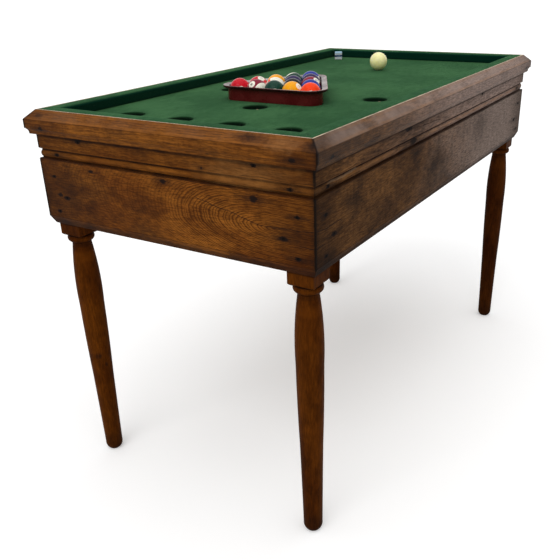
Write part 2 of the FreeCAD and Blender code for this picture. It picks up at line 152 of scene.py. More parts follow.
class Value:
    """A node's output. Plain signs put Math nodes on a number and Vector Math nodes on a place."""

    def __init__(self, graph: "Graph", socket: Socket) -> None:
        """Take an output of one of the graph's nodes."""
        self.graph, self.socket = graph, socket

    def math(self, operation: str, *inputs: object, output: int = 0) -> "Value":
        """Add the node of an operation, with this value as its input if none is given."""
        kind = "Math" if self.socket.type == "VALUE" else "VectorMath"
        return self.graph.add(kind, dict(enumerate(inputs or (self,))), output, operation=operation)

    def __add__(self, other: object) -> "Value":
        """Add to it."""
        return self.math("ADD", self, other)

    def __sub__(self, other: object) -> "Value":
        """Take away from it."""
        return self.math("SUBTRACT", self, other)

    def __rsub__(self, other: object) -> "Value":
        """Take it away from a constant."""
        return self.math("SUBTRACT", other, self)

    def __mul__(self, other: object) -> "Value":
        """Multiply it."""
        return self.math("MULTIPLY", self, other)

    def __truediv__(self, other: object) -> "Value":
        """Divide it."""
        return self.math("DIVIDE", self, other)

    def __rtruediv__(self, other: object) -> "Value":
        """Divide a constant by it."""
        return self.math("DIVIDE", other, self)

    def __abs__(self) -> "Value":
        """Drop its sign."""
        return self.math("ABSOLUTE")

    def most(self, other: object) -> "Value":
        """Take the larger of two."""
        return self.math("MAXIMUM", self, other)

    def least(self, other: object) -> "Value":
        """Take the smaller of two."""
        return self.math("MINIMUM", self, other)

    def length(self) -> "Value":
        """Measure a place from the origin."""
        return self.math("LENGTH", output=1)

    def dot(self, way: Point) -> "Value":
        """Measure a place along a direction."""
        return self.math("DOT_PRODUCT", self, way, output=1)

    def split(self) -> list["Value"]:
        """Split a place into its three numbers."""
        return [self.graph.add("SeparateXYZ", {0: self}, axis) for axis in "XYZ"]

    def ease(self, low: float, high: float, to_low: float = 0.0, to_high: float = 1.0) -> "Value":
        """Map it smoothly from one range to another, held at the ends."""
        inputs = dict(enumerate((self, low, high, to_low, to_high)))
        return self.graph.add("MapRange", inputs, interpolation_type="SMOOTHSTEP")

    def noise(self, scale: object, detail: float = 2.0, roughness: float = 0.5, output: int = 0) -> "Value":
        """Read a noise at this place: a number, or a colour as output 1."""
        inputs = {"Vector": self, "Scale": scale, "Detail": detail, "Roughness": roughness}
        return self.graph.add("TexNoise", inputs, output)


class Graph:
    """A node tree with short calls for the nodes that the finishes use."""

    def __init__(self, tree: Tree) -> None:
        """Take an empty or a new tree."""
        self.tree = tree

    def put(self, socket: Socket, value: object) -> None:
        """Link a value into an input, or set the input's own value.

        Args:
            socket: The input.
            value: A value or a constant.
        """
        if isinstance(value, Value):
            self.tree.links.new(value.socket, socket)
        elif isinstance(value, tuple) and socket.type == "RGBA":
            socket.default_value = (*value[:3], 1.0)
        else:
            socket.default_value = value

    def add(self, kind: str, inputs: dict | None = None, output: int | str = 0, **settings: object) -> Value:
        """Add a node.

        Args:
            kind: The node's type.
            inputs: Constants or values by input name or number.
            output: Name or number of the output that is wanted.
            settings: Attributes of the node.

        Returns:
            The output.
        """
        made = self.tree.nodes.new(f"ShaderNode{kind}")
        for key, value in settings.items():
            setattr(made, key, value)
        for key, value in (inputs or {}).items():
            self.put(made.inputs[key], value)
        return Value(self, made.outputs[output])

    def mix(self, share: object, a: object, b: object, blend: str = "MIX") -> Value:
        """Mix two colours by a share."""
        return self.add("Mix", {0: share, 6: a, 7: b}, 2, data_type="RGBA", blend_type=blend)

    def tint(self, colour: object, *factors: Value) -> Value:
        """Multiply a colour's channels by three numbers."""
        return self.mix(1.0, colour, self.join(*factors), "MULTIPLY")

    def join(self, x: object, y: object, z: object) -> Value:
        """Join three numbers into a place."""
        return self.add("CombineXYZ", {0: x, 1: y, 2: z})

    def up(self) -> Value:
        """How far the surface looks up."""
        return self.add("NewGeometry", output="Normal").split()[2]

    def use(self, group: Tree, *inputs: object) -> list[Value]:
        """Place an effect group with its own values, and give its outputs."""
        first = self.add("Group", dict(enumerate(inputs)), node_tree=group)
        return [Value(self, output) for output in first.socket.node.outputs]


class Effects:
    """The effect groups that several finishes share, each built once."""

    PLACES = ("Point", "Heart", "Lean", "Centre", "Start", "Stop")

    def __init__(self) -> None:
        """Build every group."""
        figure_takes = "Point Heart Lean Hold Spacing Wander Push"
        self.figure = self._group(
            "wood_figure", self._figure, figure_takes, "Rings Pores Fibre Broad Mottle Brushed"
        )
        self.knot = self._group("wood_knot", self._knot, "Point Centre Radius", "Core Push")
        self.spot = self._group("dark_spot", self._spot, "Point Centre Radius Run", "Mark")
        self.cloud = self._group("dark_cloud", self._cloud, "Point Centre Radius Run", "Mark")
        self.crack = self._group("grain_crack", self._crack, "Point Start Stop Half", "Crack")
        self.line = self._group("level_line", self._line, "Point Level Half Broken", "Line")
        self.nap = self._group("wool_nap", self._nap, "Point Thread", "Shade Height Lint")
        self.scuffs = self._group("scuffs", self._scuffs, "Point Size", "Scratches Smears")
        self.dust = self._group("settled_dust", self._dust, "Point Amount", "Dust")

    def _group(self, name: str, build: object, takes: str, gives: str) -> Tree:
        """Make an effect group with named sockets.

        Args:
            name: The group's name.
            build: Turns the graph and the inputs into the outputs.
            takes: Names of the inputs, places or numbers.
            gives: Names of the outputs, all numbers.

        Returns:
            The group.
        """
        tree = bpy.data.node_groups.new(name, "ShaderNodeTree")
        for key in takes.split():
            kind = "Vector" if key in self.PLACES else "Float"
            tree.interface.new_socket(key, in_out="INPUT", socket_type=f"NodeSocket{kind}")
        for key in gives.split():
            tree.interface.new_socket(key, in_out="OUTPUT", socket_type="NodeSocketFloat")
        graph, given = Graph(tree), tree.nodes.new("NodeGroupInput")
        results = build(graph, *(Value(graph, given.outputs[key]) for key in takes.split()))
        out = tree.nodes.new("NodeGroupOutput")
        for key, value in zip(gives.split(), results, strict=True):
            graph.put(out.inputs[key], value)
        return tree

    @staticmethod
    def _figure(
        graph: Graph, point: Value, heart: Value, lean: Value, hold: Value, spacing: Value, wander: Value, push: Value
    ) -> tuple[Value, ...]:
        """Growth rings, pores, fibre and broad changes of a sawn or turned piece of wood.

        Args:
            graph: The tree that takes the nodes.
            point: The place that is shaded.
            heart: A point on the tree's heart.
            lean: How the heart leans away along the board.
            hold: Distance at which the lean has half faded.
            spacing: Width of a year's ring.
            wander: How far the rings wander.
            push: How far knots push the rings aside.

        Returns:
            The outputs, in the group's order.
        """
        along = point.split()[0]
        along = (along + (along * along + 0.0025).math("SQRT")) * 0.5
        along = along * hold / (hold + along)
        away = point - heart + graph.join(along, along, along) * lean
        radius = (away * (0.0, 1.0, 1.0)).length()
        broad_bend = (point * (0.22, 1.0, 1.0)).noise(16.0, 1.5)
        small_bend = (point * (0.42, 1.0, 1.0)).noise(130.0, 2.5, 0.6)
        bend = small_bend * 0.27 + (broad_bend - 0.635)
        years = (radius + (bend * wander + push)) / spacing
        uneven = graph.join(years * 0.45, 0.0, 0.0).noise(1.0, 1.0)
        year = (uneven * 2.2 + years).math("FRACT")
        late = year.ease(0.40, 0.80) * year.ease(1.0, 0.88)
        fine = (point * (0.030, 1.0, 1.0)).noise(1500.0, 1.0)
        pores = fine.ease(0.56, 0.70) * year.ease(0.55, 0.05, 0.25, 1.0)
        fibre = (point * (0.13, 1.0, 1.0)).noise(360.0, 3.0, 0.68)
        drawn = point * (0.45, 1.0, 1.0)
        brushed = (point * (1.0, 0.16, 1.0)).noise(150.0, 2.0)
        return late, pores, fibre, drawn.noise(9.0, 3.0, 0.6), drawn.noise(48.0, 6.0, 0.68), brushed

    @staticmethod
    def _knot(graph: Graph, point: Value, centre: Value, radius: Value) -> tuple[Value, ...]:
        """A knot: its dark core, and how far it pushes the rings aside."""
        far = ((point - centre) * (0.72, 1.0, 0.0)).length() / radius
        core = (point.noise(160.0, 2.0) * 0.9 + (far - 0.45)).ease(1.30, 0.20, 0.0, 0.62)
        return core, (far * far * -0.13).math("EXPONENT") * radius * 3.4

    @staticmethod
    def _spot(graph: Graph, point: Value, centre: Value, radius: Value, run: Value) -> tuple[Value, ...]:
        """A ragged dark mark, such as an iron stain round a nail, drawn out along the grain.

        Args:
            graph: The tree that takes the nodes.
            point: The place that is shaded.
            centre: The mark's middle.
            radius: The mark's radius.
            run: How far it is drawn out along the grain.

        Returns:
            The outputs, in the group's order.
        """
        along, across, _ = (point - centre).split()
        along = along / run
        ragged = (point * (0.35, 1.0, 1.0)).noise(2.2 / radius, 3.0, 0.6)
        core = graph.join(along, across, 0.0).length() / radius
        halo = graph.join(along * 0.36, across, 0.0).length() / radius
        halo = (ragged * 2.0 + halo).ease(3.0, 0.9, 0.0, 0.66)
        return ((ragged * 1.2 + core).ease(1.85, 1.15).most(halo),)

    @staticmethod
    def _cloud(graph: Graph, point: Value, centre: Value, radius: Value, run: Value) -> tuple[Value, ...]:
        """A broad dark area with no edge, where the wood took up damp or dirt."""
        along, across, _ = (point - centre).split()
        far = graph.join(along / run, across, 0.0).length() / radius
        return ((point.noise(1.6 / radius, 6.0, 0.68) * 1.5 + far).ease(1.9, 0.45),)

    @staticmethod
    def _crack(graph: Graph, point: Value, start: Value, stop: Value, half: Value) -> tuple[Value, ...]:
        """A hair crack that runs along the grain between two places and wanders a little.

        Args:
            graph: Not used.
            point: The place that is shaded.
            start: Where it starts.
            stop: Where it stops.
            half: Half its width.

        Returns:
            The outputs, in the group's order.
        """
        along, across, _ = point.split()
        from_along, from_across, _ = start.split()
        to_along, to_across, _ = stop.split()
        share = (along - from_along) / (to_along - from_along)
        level = share * (to_across - from_across) + from_across
        level = (point * (1.0, 0.0, 0.0)).noise(22.0, 3.0) * 0.012 + (level - 0.006)
        off = abs(across - level) / half
        return (off.ease(1.0, 0.2) * share.least(1.0 - share).ease(0.0, 0.06),)

    @staticmethod
    def _line(graph: Graph, point: Value, level: Value, half: Value, broken: Value) -> tuple[Value, ...]:
        """A soft line at one height: painted shade with dirt in a groove or under a ledge, or wear with a painted
        highlight on an edge.
        """
        near = 1.0 - abs(point.split()[2] - level) / half
        patchy = point.noise(24.0, 3.0, 0.6).ease(0.35, 0.62)
        return (near.ease(0.0, 0.65) * (1.0 - broken * (1.0 - patchy)),)

    @staticmethod
    def _nap(graph: Graph, point: Value, thread: Value) -> tuple[Value, ...]:
        """Woven wool cloth with a short nap: shade, height and lint.

        Args:
            graph: Not used.
            point: The place that is shaded.
            thread: Width of a thread.

        Returns:
            The outputs, in the group's order.
        """
        x, y, z = point.split()
        per_metre = PI / thread
        threads = ((x + y) * per_metre).math("SINE") * ((x - y - z) * per_metre).math("SINE")
        fibres = point.noise(1700.0, 3.0, 0.7)
        brushed = (point * (0.45, 1.0, 1.0)).noise(75.0, 7.0, 0.78)
        worn = point.noise(5.5, 3.0, 0.55)
        shade = brushed * 0.45 + (worn * 0.45 + fibres * 0.22)
        lint = (point * (1.0, 2.6, 1.0)).noise(240.0, 2.0).ease(0.70, 0.76)
        return shade, threads * 0.30 + fibres, lint

    @staticmethod
    def _scuffs(graph: Graph, point: Value, size: Value) -> tuple[Value, ...]:
        """Fine scratches and handling marks on a polished surface.

        Args:
            graph: The tree that takes the nodes.
            point: The place that is shaded.
            size: Size of the pattern.

        Returns:
            The outputs, in the group's order.
        """
        place = point / graph.join(size, size, size)
        bent = place + place.noise(1.3, 1.0, output=1) * (0.5, 0.5, 0.5)
        one = (bent * (1.0, 22.0, 3.0)).noise(1.6, 1.0)
        two = (bent * (19.0, 1.2, 4.0)).noise(1.3, 1.0)
        return one.ease(0.66, 0.72).most(two.ease(0.67, 0.73)), place.noise(1.1, 4.0, 0.6)

    @staticmethod
    def _dust(graph: Graph, point: Value, amount: Value) -> tuple[Value, ...]:
        """Dust and dried wax on faces that look up, with a painted reflection of the sky on them."""
        patches = (point * (0.7, 0.7, 1.0)).noise(14.0, 5.0, 0.62)
        return (graph.up().ease(0.25, 0.95) * patches.ease(0.30, 0.70) * amount,)


# ---------------------------------------------------------------- finishes


def new_material(name: str) -> tuple[Material, Graph, bpy.types.Node]:
    """Start a material: the material, its graph and its shader."""
    made = bpy.data.materials.new(name)
    made.use_nodes = True
    return made, Graph(made.node_tree), made.node_tree.nodes["Principled BSDF"]


def set_plain(shader: bpy.types.Node, **values: object) -> None:
    """Set the shader's own values, each named with underscores for spaces."""
    for key, value in values.items():
        shader.inputs[key.replace("_", " ")].default_value = value


@dataclass
class Surface:
    """What a finish puts on its shader.

    The relief stands for `depth` metres where it is 1, and `plain` names the shader's own values.
    """

    colour: Value
    rough: Value
    relief: Value
    depth: float
    strength: float = 1.0
    plain: dict[str, object] = field(default_factory=dict)


class Finish:
    """What every finish shares: how its surface becomes a material."""

    def make(self, effects: Effects) -> Material:
        """Build the material.

        Args:
            effects: The shared groups.

        Returns:
            The new material.
        """
        made, graph, shader = new_material(self.name)
        surface = self._surface(graph, effects, graph.add("TexCoord", output="Object"))
        graph.put(shader.inputs["Base Color"], surface.colour)
        graph.put(shader.inputs["Roughness"], surface.rough)
        bump = {"Strength": surface.strength, "Distance": surface.depth, "Height": surface.relief}
        graph.put(shader.inputs["Normal"], graph.add("Bump", bump))
        set_plain(shader, **surface.plain)
        return made


class Blemish(Enum):
    """What marks the wood at one place."""

    NAIL = "nail"
    KNOT = "knot"
    CLOUD = "cloud"
    RUB = "rub"


@dataclass(frozen=True)
class Mark:
    """A nail's stain, a knot, a dark area or a pale rubbed one, in the board's own directions."""

    along: float
    across: float
    radius: float
    run: float = 1.6
    kind: Blemish = Blemish.NAIL
    strength: float = 1.0


def knot(along: float, across: float, radius: float) -> Mark:
    """A knot at a place on a board."""
    return Mark(along, across, radius, kind=Blemish.KNOT)


def cloud(along: float, across: float, radius: float, run: float, strength: float) -> Mark:
    """A dark area at a place on a board."""
    return Mark(along, across, radius, run, Blemish.CLOUD, strength)


def rub(along: float, across: float, radius: float, run: float, strength: float) -> Mark:
    """A pale rubbed area at a place on a board."""
    return Mark(along, across, radius, run, Blemish.RUB, strength)


@dataclass(frozen=True)
class Crack:
    """A hair crack, or a pale chipped edge, between two places in the board's own directions."""

    start: Pair
    stop: Pair
    half: float = 0.0011
    strength: float = 0.8
    pale: bool = False


@dataclass(frozen=True)
class Bloom:
    """A grey sheen that grows along the table from one place to another: a painted reflection of the bright
    surroundings.
    """

    start: float
    stop: float
    share: float
    colour: Colour


@dataclass(frozen=True)
class WoodFinish(Finish):
    """Waxed or bare wood, cut from its own place in the tree."""

    name: str
    grain: Grain
    light: Colour
    middle: Colour
    dark: Colour
    heart: Point = (0.0, 0.75, 0.03)
    lean: Point = (0.0, 0.0, 0.0)
    hold: float = 2.0
    origin: Point = (0.0, 0.0, 0.0)
    spacing: float = 0.0035
    wander: float = 0.012
    ring_depth: float = 0.75
    pore_depth: float = 0.5
    roughness: float = 0.42
    sheen_film: float = 0.0
    film_colour: Colour = (0.30, 0.24, 0.19)
    marks: tuple[Mark, ...] = ()
    cracks: tuple[Crack, ...] = ()
    chip_colour: Colour = (0.26, 0.175, 0.11)
    bloom: Bloom | None = None
    brushed: float = 0.0
    end_shade: float = 0.40
    clear_reach: float = 9.0
    # Dark lines: painted shade with grime in grooves, creases and under ledges.
    dark_lines: tuple[Point, ...] = ()
    # Pale lines: wear with a painted highlight on edges and swells.
    worn_lines: tuple[Point, ...] = ()
    corners: Pair | None = None
    ends: Pair | None = None
    mottle: float = 0.55
    streaks: float = 0.50
    shine: float = 0.14

    def _marks(self, graph: Graph, effects: Effects, own: Value) -> tuple[object, object, object]:
        """Lay the nails' stains, knots, clouds, rubbed areas and cracks.

        Args:
            graph: The material's graph.
            effects: The shared groups.
            own: The place in the board's directions.

        Returns:
            The dark mask, the pale mask and the push on the rings.
        """
        from_x, from_y, _ = self.origin
        push, shares = 0.0, []
        for mark in self.marks:
            centre = (mark.along - from_x, mark.across - from_y, 0.0)
            if mark.kind is Blemish.KNOT:
                shade, aside = graph.use(effects.knot, own, centre, mark.radius)
                push = aside + push
            else:
                group = effects.spot if mark.kind is Blemish.NAIL else effects.cloud
                shade = graph.use(group, own, centre, mark.radius, mark.run)[0]
            shares.append((mark.kind is Blemish.RUB, shade * mark.strength))
        for crack in self.cracks:
            start, stop = ((along - from_x, across - from_y, 0.0) for along, across in (crack.start, crack.stop))
            line = graph.use(effects.crack, own, start, stop, crack.half)[0]
            shares.append((crack.pale, line * crack.strength))
        masks = {True: 0.0, False: 0.0}
        for pale, share in shares:
            masks[pale] = share.most(masks[pale])
        return masks[False], masks[True], push

    def _corner_mask(self, place: Value) -> Value:
        """Mask the last few millimetres before a mitre, where dirt and wear gather.

        Args:
            place: The place in the frame.

        Returns:
            The mask.
        """
        x, y, _ = place.split()
        gap = abs(x) - abs(y) - self.corners[0]
        wide = place.noise(70.0, 2.0) * 0.006 + (self.corners[1] - 0.0025)
        return (abs(gap) / wide).ease(1.0, 0.15)

    def _surface(self, graph: Graph, effects: Effects, place: Value) -> Surface:
        """Lay the figure, then the painted sheen, the film of dust with painted sky reflection, lines of painted shade
        with grime and of wear with painted highlight, ends, corners and marks over it.

        Args:
            graph: The tree that takes the nodes.
            effects: The shared groups.
            place: The place in the frame.

        Returns:
            What goes on the shader.
        """
        axes = dict(zip("XYZ", place.split()))
        own = graph.join(*(axes[axis] for axis in self.grain.value)) - self.origin
        dark, pale, push = self._marks(graph, effects, own)
        cut = (self.heart, self.lean, self.hold, self.spacing, self.wander, push)
        rings, pores, fibre, broad, mottle, brushed = graph.use(effects.figure, own, *cut)
        wide = broad.ease(0.36, 0.65)
        colour = graph.mix(wide, self.middle, self.light)
        stain = (wide * -0.45 + 1.0) * (mottle.ease(0.58, 0.34) * self.mottle)
        colour = graph.mix(stain, colour, self.dark)
        faint, clear = 0.42 * self.ring_depth, self.clear_reach
        depth = abs(own.split()[0]).ease(clear, 2.0 * clear, self.ring_depth, faint)
        colour = graph.mix(rings * depth, colour, self.dark)
        # Painted sheen: a grey reflection of the surroundings laid into the colour along the long side.
        if self.bloom:
            patches = broad * 0.55 + (axes["X"] - 0.27)
            grey = patches.ease(self.bloom.start, self.bloom.stop, 0.0, self.bloom.share)
            colour = graph.mix(grey, colour, self.bloom.colour)
        streak = (brushed - 0.5) * self.brushed + fibre
        streak = streak.ease(0.30, 0.70, 1.0 - self.streaks, 1.0 + self.streaks)
        colour = graph.tint(colour, streak, streak, streak)
        deep = tuple(channel * 0.22 for channel in self.dark)
        colour = graph.mix(pores * self.pore_depth, colour, deep)
        # A pale film on up-facing faces: dust and wax with a painted sky reflection.
        film = graph.use(effects.dust, place, self.sheen_film)[0]
        colour = graph.mix(film, colour, self.film_colour)
        rough = film * 0.15 + (pores * 0.12 + (fibre * 0.16 + (self.roughness - 0.08)))
        # Pale lines are wear with a painted highlight; dark lines are painted shade with grime.
        worn = tuple(min(1.0, channel * 1.7) for channel in self.light)
        for lines, broken, shade in ((self.worn_lines, 0.6, worn), (self.dark_lines, 0.25, (0.012, 0.004, 0.002))):
            for level, half, share in lines:
                line = graph.use(effects.line, place, level, half, broken)[0]
                colour = graph.mix(line * share, colour, shade)
        if self.ends:
            end, reach = self.ends
            run = abs(axes[self.grain.value[0]])
            near = place.noise(38.0, 3.0) * (-1.6 * reach) + run
            colour = graph.mix(near.ease(end - 0.17, end, 0.0, self.end_shade), colour, self.dark)
            dirt = near.ease(end - 2.0 * reach, end - 0.2 * reach)
            colour = graph.mix(dirt * 0.80, colour, (0.012, 0.006, 0.003))
            edge = (place.noise(120.0, 2.0) * 0.003 + run).ease(end - 0.0030, end - 0.0005)
            colour = graph.mix(edge * 0.92, colour, (0.005, 0.003, 0.002))
        if self.corners:
            colour = graph.mix(self._corner_mask(place) * 0.8, colour, (0.010, 0.004, 0.002))
        if self.marks:
            colour = graph.mix(fibre * pale, colour, self.chip_colour)
            colour = graph.mix(dark * 0.95, colour, (0.006, 0.004, 0.004))
        relief = pores * -0.7 + (rings * -0.25 + fibre)
        return Surface(colour, rough, relief, 0.00022, plain={"Specular_IOR_Level": self.shine})


@dataclass(frozen=True)
class ClothFinish(Finish):
    """Green wool cloth, napped, a little worn."""

    name: str
    light: Colour
    dark: Colour
    thread: float = 0.0006
    steep: Colour | None = None
    pockets: tuple[Pair, ...] = ()

    def _surface(self, graph: Graph, effects: Effects, place: Value) -> Surface:
        """Lay the nap, and shade it on steep faces, at the pockets' lips and inside them.

        Args:
            graph: The tree that takes the nodes.
            effects: The shared groups.
            place: The place in the frame.

        Returns:
            What goes on the shader.
        """
        shade, height, lint = graph.use(effects.nap, place, self.thread)
        colour = graph.mix(shade.ease(0.46, 0.66), self.dark, self.light)
        if self.steep:
            colour = graph.mix(graph.up().ease(0.88, 0.30), colour, self.steep)
        if self.pockets:
            flat, nearest = place * (1.0, 1.0, 0.0), 1.0
            for x, y in self.pockets:
                nearest = (flat - (x, y, 0.0)).length().least(nearest)
            dished = nearest + place.noise(90.0, 2.0) * 0.006
            colour = graph.mix(dished.ease(0.0440, 0.0335, 0.0, 0.45), colour, (0.006, 0.026, 0.012))
            inside = place.split()[2].ease(BED_HEIGHT - 0.0003, BED_HEIGHT - 0.0045)
            colour = graph.mix(inside * 0.95, colour, (0.002, 0.008, 0.004))
        colour = graph.mix(lint * 0.25, colour, (0.22, 0.26, 0.20))
        plain = {"Specular_IOR_Level": 0.03, "Sheen_Weight": 0.16, "Sheen_Roughness": 0.40}
        plain["Sheen_Tint"] = (0.30, 0.78, 0.34, 1.0)
        return Surface(colour, shade * 0.10 + 0.86, height, 0.00025, 0.8, plain)


class Pattern(Enum):
    """How a pool ball is coloured."""

    SOLID = "solid"
    STRIPE = "stripe"
    PLAIN = "plain"


IVORY = (0.95, 0.92, 0.80)
PAINTS: dict[int, Colour] = {
    1: (0.98, 0.40, 0.002),
    2: (0.010, 0.030, 0.30),
    3: (0.60, 0.0005, 0.014),
    4: (0.022, 0.010, 0.075),
    5: (1.00, 0.050, 0.001),
    6: (0.0005, 0.040, 0.024),
    7: (0.24, 0.006, 0.030),
    8: (0.006, 0.006, 0.007),
}


@dataclass(frozen=True)
class BallFinish(Finish):
    """Polished cast resin, with a number spot at both ends of one line and perhaps a stripe."""

    name: str
    pattern: Pattern
    paint: Colour
    centre: Point
    spot: Point = (1.0, 0.0, 0.0)
    axis: Point = (0.0, 0.0, 1.0)
    spot_radius: float = 0.0085
    stripe_half: float = 0.0125
    ground: Colour = IVORY
    shine: float = 0.12

    def _surface(self, graph: Graph, effects: Effects, place: Value) -> Surface:
        """Lay the stripe and the two spots, then wear.

        Args:
            graph: The tree that takes the nodes.
            effects: The shared groups.
            place: The place in the frame.

        Returns:
            What goes on the shader.
        """
        own = place - self.centre
        scratches, smears = graph.use(effects.scuffs, own, 0.022)
        colour: object = self.paint
        if self.pattern is Pattern.STRIPE:
            stripe = abs(own.dot(self.axis)).ease(self.stripe_half + 0.0003, self.stripe_half - 0.0003)
            colour = graph.mix(stripe, self.ground, self.paint)
        if self.pattern is not Pattern.PLAIN:
            reach = math.sqrt(BALL_RADIUS**2 - self.spot_radius**2)
            spot = abs(own.dot(self.spot)).ease(reach - 0.00015, reach + 0.00015)
            colour = graph.mix(spot, colour, self.ground)
        tint = smears.ease(0.25, 0.75, 0.86, 1.06)
        colour = graph.tint(colour, tint, tint, tint * 0.97)
        colour = graph.mix(scratches * 0.05, colour, (0.35, 0.32, 0.28))
        plain = {"Specular_IOR_Level": self.shine}
        if self.pattern is Pattern.PLAIN:
            plain.update(Subsurface_Weight=0.35, Subsurface_Scale=0.012, Subsurface_Radius=(1.0, 0.9, 0.5))
        rough = scratches * 0.15 + (smears * 0.14 + 0.06)
        return Surface(colour, rough, scratches, 0.00002, 0.6, plain)


@dataclass(frozen=True)
class PaintFinish(Finish):
    """Moulded plastic, metal or paint of one colour, with handling marks."""

    name: str
    base: Colour
    worn: Colour
    roughness: float
    metallic: float = 0.0
    size: float = 0.03
    # Dust with a painted pale reflection on faces that look up.
    dusty: float = 0.0
    dust_colour: Colour = (0.42, 0.39, 0.36)
    # A dark line of grime and painted shadow, such as under a rim.
    grime: Pair | None = None
    coat: float = 0.0
    shine: float = 0.5

    def _surface(self, graph: Graph, effects: Effects, place: Value) -> Surface:
        """Lay smears, scratches, a line of grime with painted shadow, and dust with a painted sheen over the colour.

        Args:
            graph: The tree that takes the nodes.
            effects: The shared groups.
            place: The place in the frame.

        Returns:
            What goes on the shader.
        """
        scratches, smears = graph.use(effects.scuffs, place, self.size)
        colour = graph.mix(smears.ease(0.35, 0.72), self.base, self.worn)
        colour = graph.mix(scratches * 0.35, colour, self.worn)
        # Grime with painted shadow in a line at one height.
        if self.grime:
            line = graph.use(effects.line, place, *self.grime, 0.1)[0]
            colour = graph.mix(line * 0.92, colour, (0.004, 0.002, 0.002))
        dust = graph.use(effects.dust, place, self.dusty)[0]
        colour = graph.mix(dust, colour, self.dust_colour)
        rough = scratches * 0.18 + (smears * 0.22 + (self.roughness - 0.10))
        plain = {"Metallic": self.metallic, "Coat_Weight": self.coat, "Coat_Roughness": 0.12}
        plain["Specular_IOR_Level"] = self.shine
        return Surface(colour, rough, scratches * -0.6 + smears, 0.00006, 0.7, plain)


@dataclass(frozen=True)
class ChalkFinish(Finish):
    """A cube of cue chalk: bare blue top, paper round it with one plain band."""

    name: str
    foot: float = LOOSE_HEIGHT
    band_low: float = 0.0085
    band_high: float = 0.0155
    paper_top: float = 0.0195

    def _surface(self, graph: Graph, effects: Effects, place: Value) -> Surface:
        """Lay the paper and its band, with bare chalk over the paper's edge.

        Args:
            graph: The tree that takes the nodes.
            effects: Not used.
            place: The place in the frame.

        Returns:
            What goes on the shader.
        """
        wobble = place.noise(260.0, 2.0) * 0.0012 + (place.split()[2] - self.foot - 0.0006)
        powder = place.noise(900.0, 4.0, 0.7)
        chalk = graph.mix(powder, (0.20, 0.36, 0.50), (0.46, 0.62, 0.72))
        paper = graph.mix(place.noise(300.0, 3.0), (0.40, 0.42, 0.44), (0.62, 0.62, 0.60))
        low, high = self.band_low, self.band_high
        band = wobble.ease(low, low + 0.0004) * wobble.ease(high, high - 0.0004)
        paper = graph.mix(band, paper, (0.012, 0.022, 0.075))
        smudge = place.noise(120.0, 4.0).ease(0.45, 0.70, 0.0, 0.45)
        paper = graph.mix(smudge, paper, (0.22, 0.38, 0.50))
        bare = wobble.ease(self.paper_top, self.paper_top + 0.0006)
        colour = graph.mix(bare, paper, chalk)
        return Surface(colour, bare * 0.28 + 0.62, powder, 0.0002, 0.8, {"Specular_IOR_Level": 0.25})


# ---------------------------------------------------------------- meshes


def shade(mesh: bpy.types.Mesh, material: Material, sharp: float) -> None:
    """Give a mesh its finish, and smooth shading but for edges that turn more than `sharp` degrees.

    Args:
        mesh: The mesh.
        material: The finish.
        sharp: Edges that turn more than these degrees stay sharp.
    """
    mesh.materials.clear()
    mesh.materials.append(material)
    mesh.shade_smooth()
    mesh.set_sharp_from_angle(angle=math.radians(sharp))


def new_piece(name: str, places: list[Vector], faces: list[Face], material: Material, sharp: float) -> Object:
    """Make a mesh piece with smooth faces.

    Args:
        name: The piece's name.
        places: The points, in the frame.
        faces: The points of each face.
        material: The piece's finish.
        sharp: Edges that turn more than these degrees stay sharp.

    Returns:
        The new object.
    """
    mesh = bpy.data.meshes.new(name)
    mesh.from_pydata([tuple(place) for place in places], [], faces)
    mesh.validate()
    shade(mesh, material, sharp)
    return link(name, mesh)


def link(name: str, data: bpy.types.ID) -> Object:
    """Put data into the scene as an object."""
    made = bpy.data.objects.new(name, data)
    bpy.context.scene.collection.objects.link(made)
    return made


def thicken(piece: Object, thickness: float) -> None:
    """Give a cloth its thickness, under the surface that was drawn."""
    solid = piece.modifiers.new("thickness", "SOLIDIFY")
    solid.thickness = thickness
    solid.offset = -1.0


def face_up(places: list[Vector], faces: list[Face]) -> list[Face]:
    """Turn all faces over if the first faces down.

    Args:
        places: The points.
        faces: The faces.

    Returns:
        The faces, all the right way up.
    """
    a, b, c = (places[i] for i in faces[0][:3])
    if (b - a).cross(c - a).z < 0:
        return [tuple(reversed(face)) for face in faces]
    return faces


@dataclass
class Assembly:
    """What a sub-assembly works with: the shared effects and the frame's nodes."""

    effects: Effects
    nodes: dict[str, Object]

    def dress(self, finish: Finish, *names: str, sharp: float = 32.0) -> None:
        """Give CAD nodes one finish and smooth shading.

        Args:
            finish: The finish, made once for all of them.
            names: The nodes' names.
            sharp: Edges that turn more than these degrees stay sharp.
        """
        material = finish.make(self.effects)
        for name in names:
            shade(self.nodes[name].data, material, sharp)


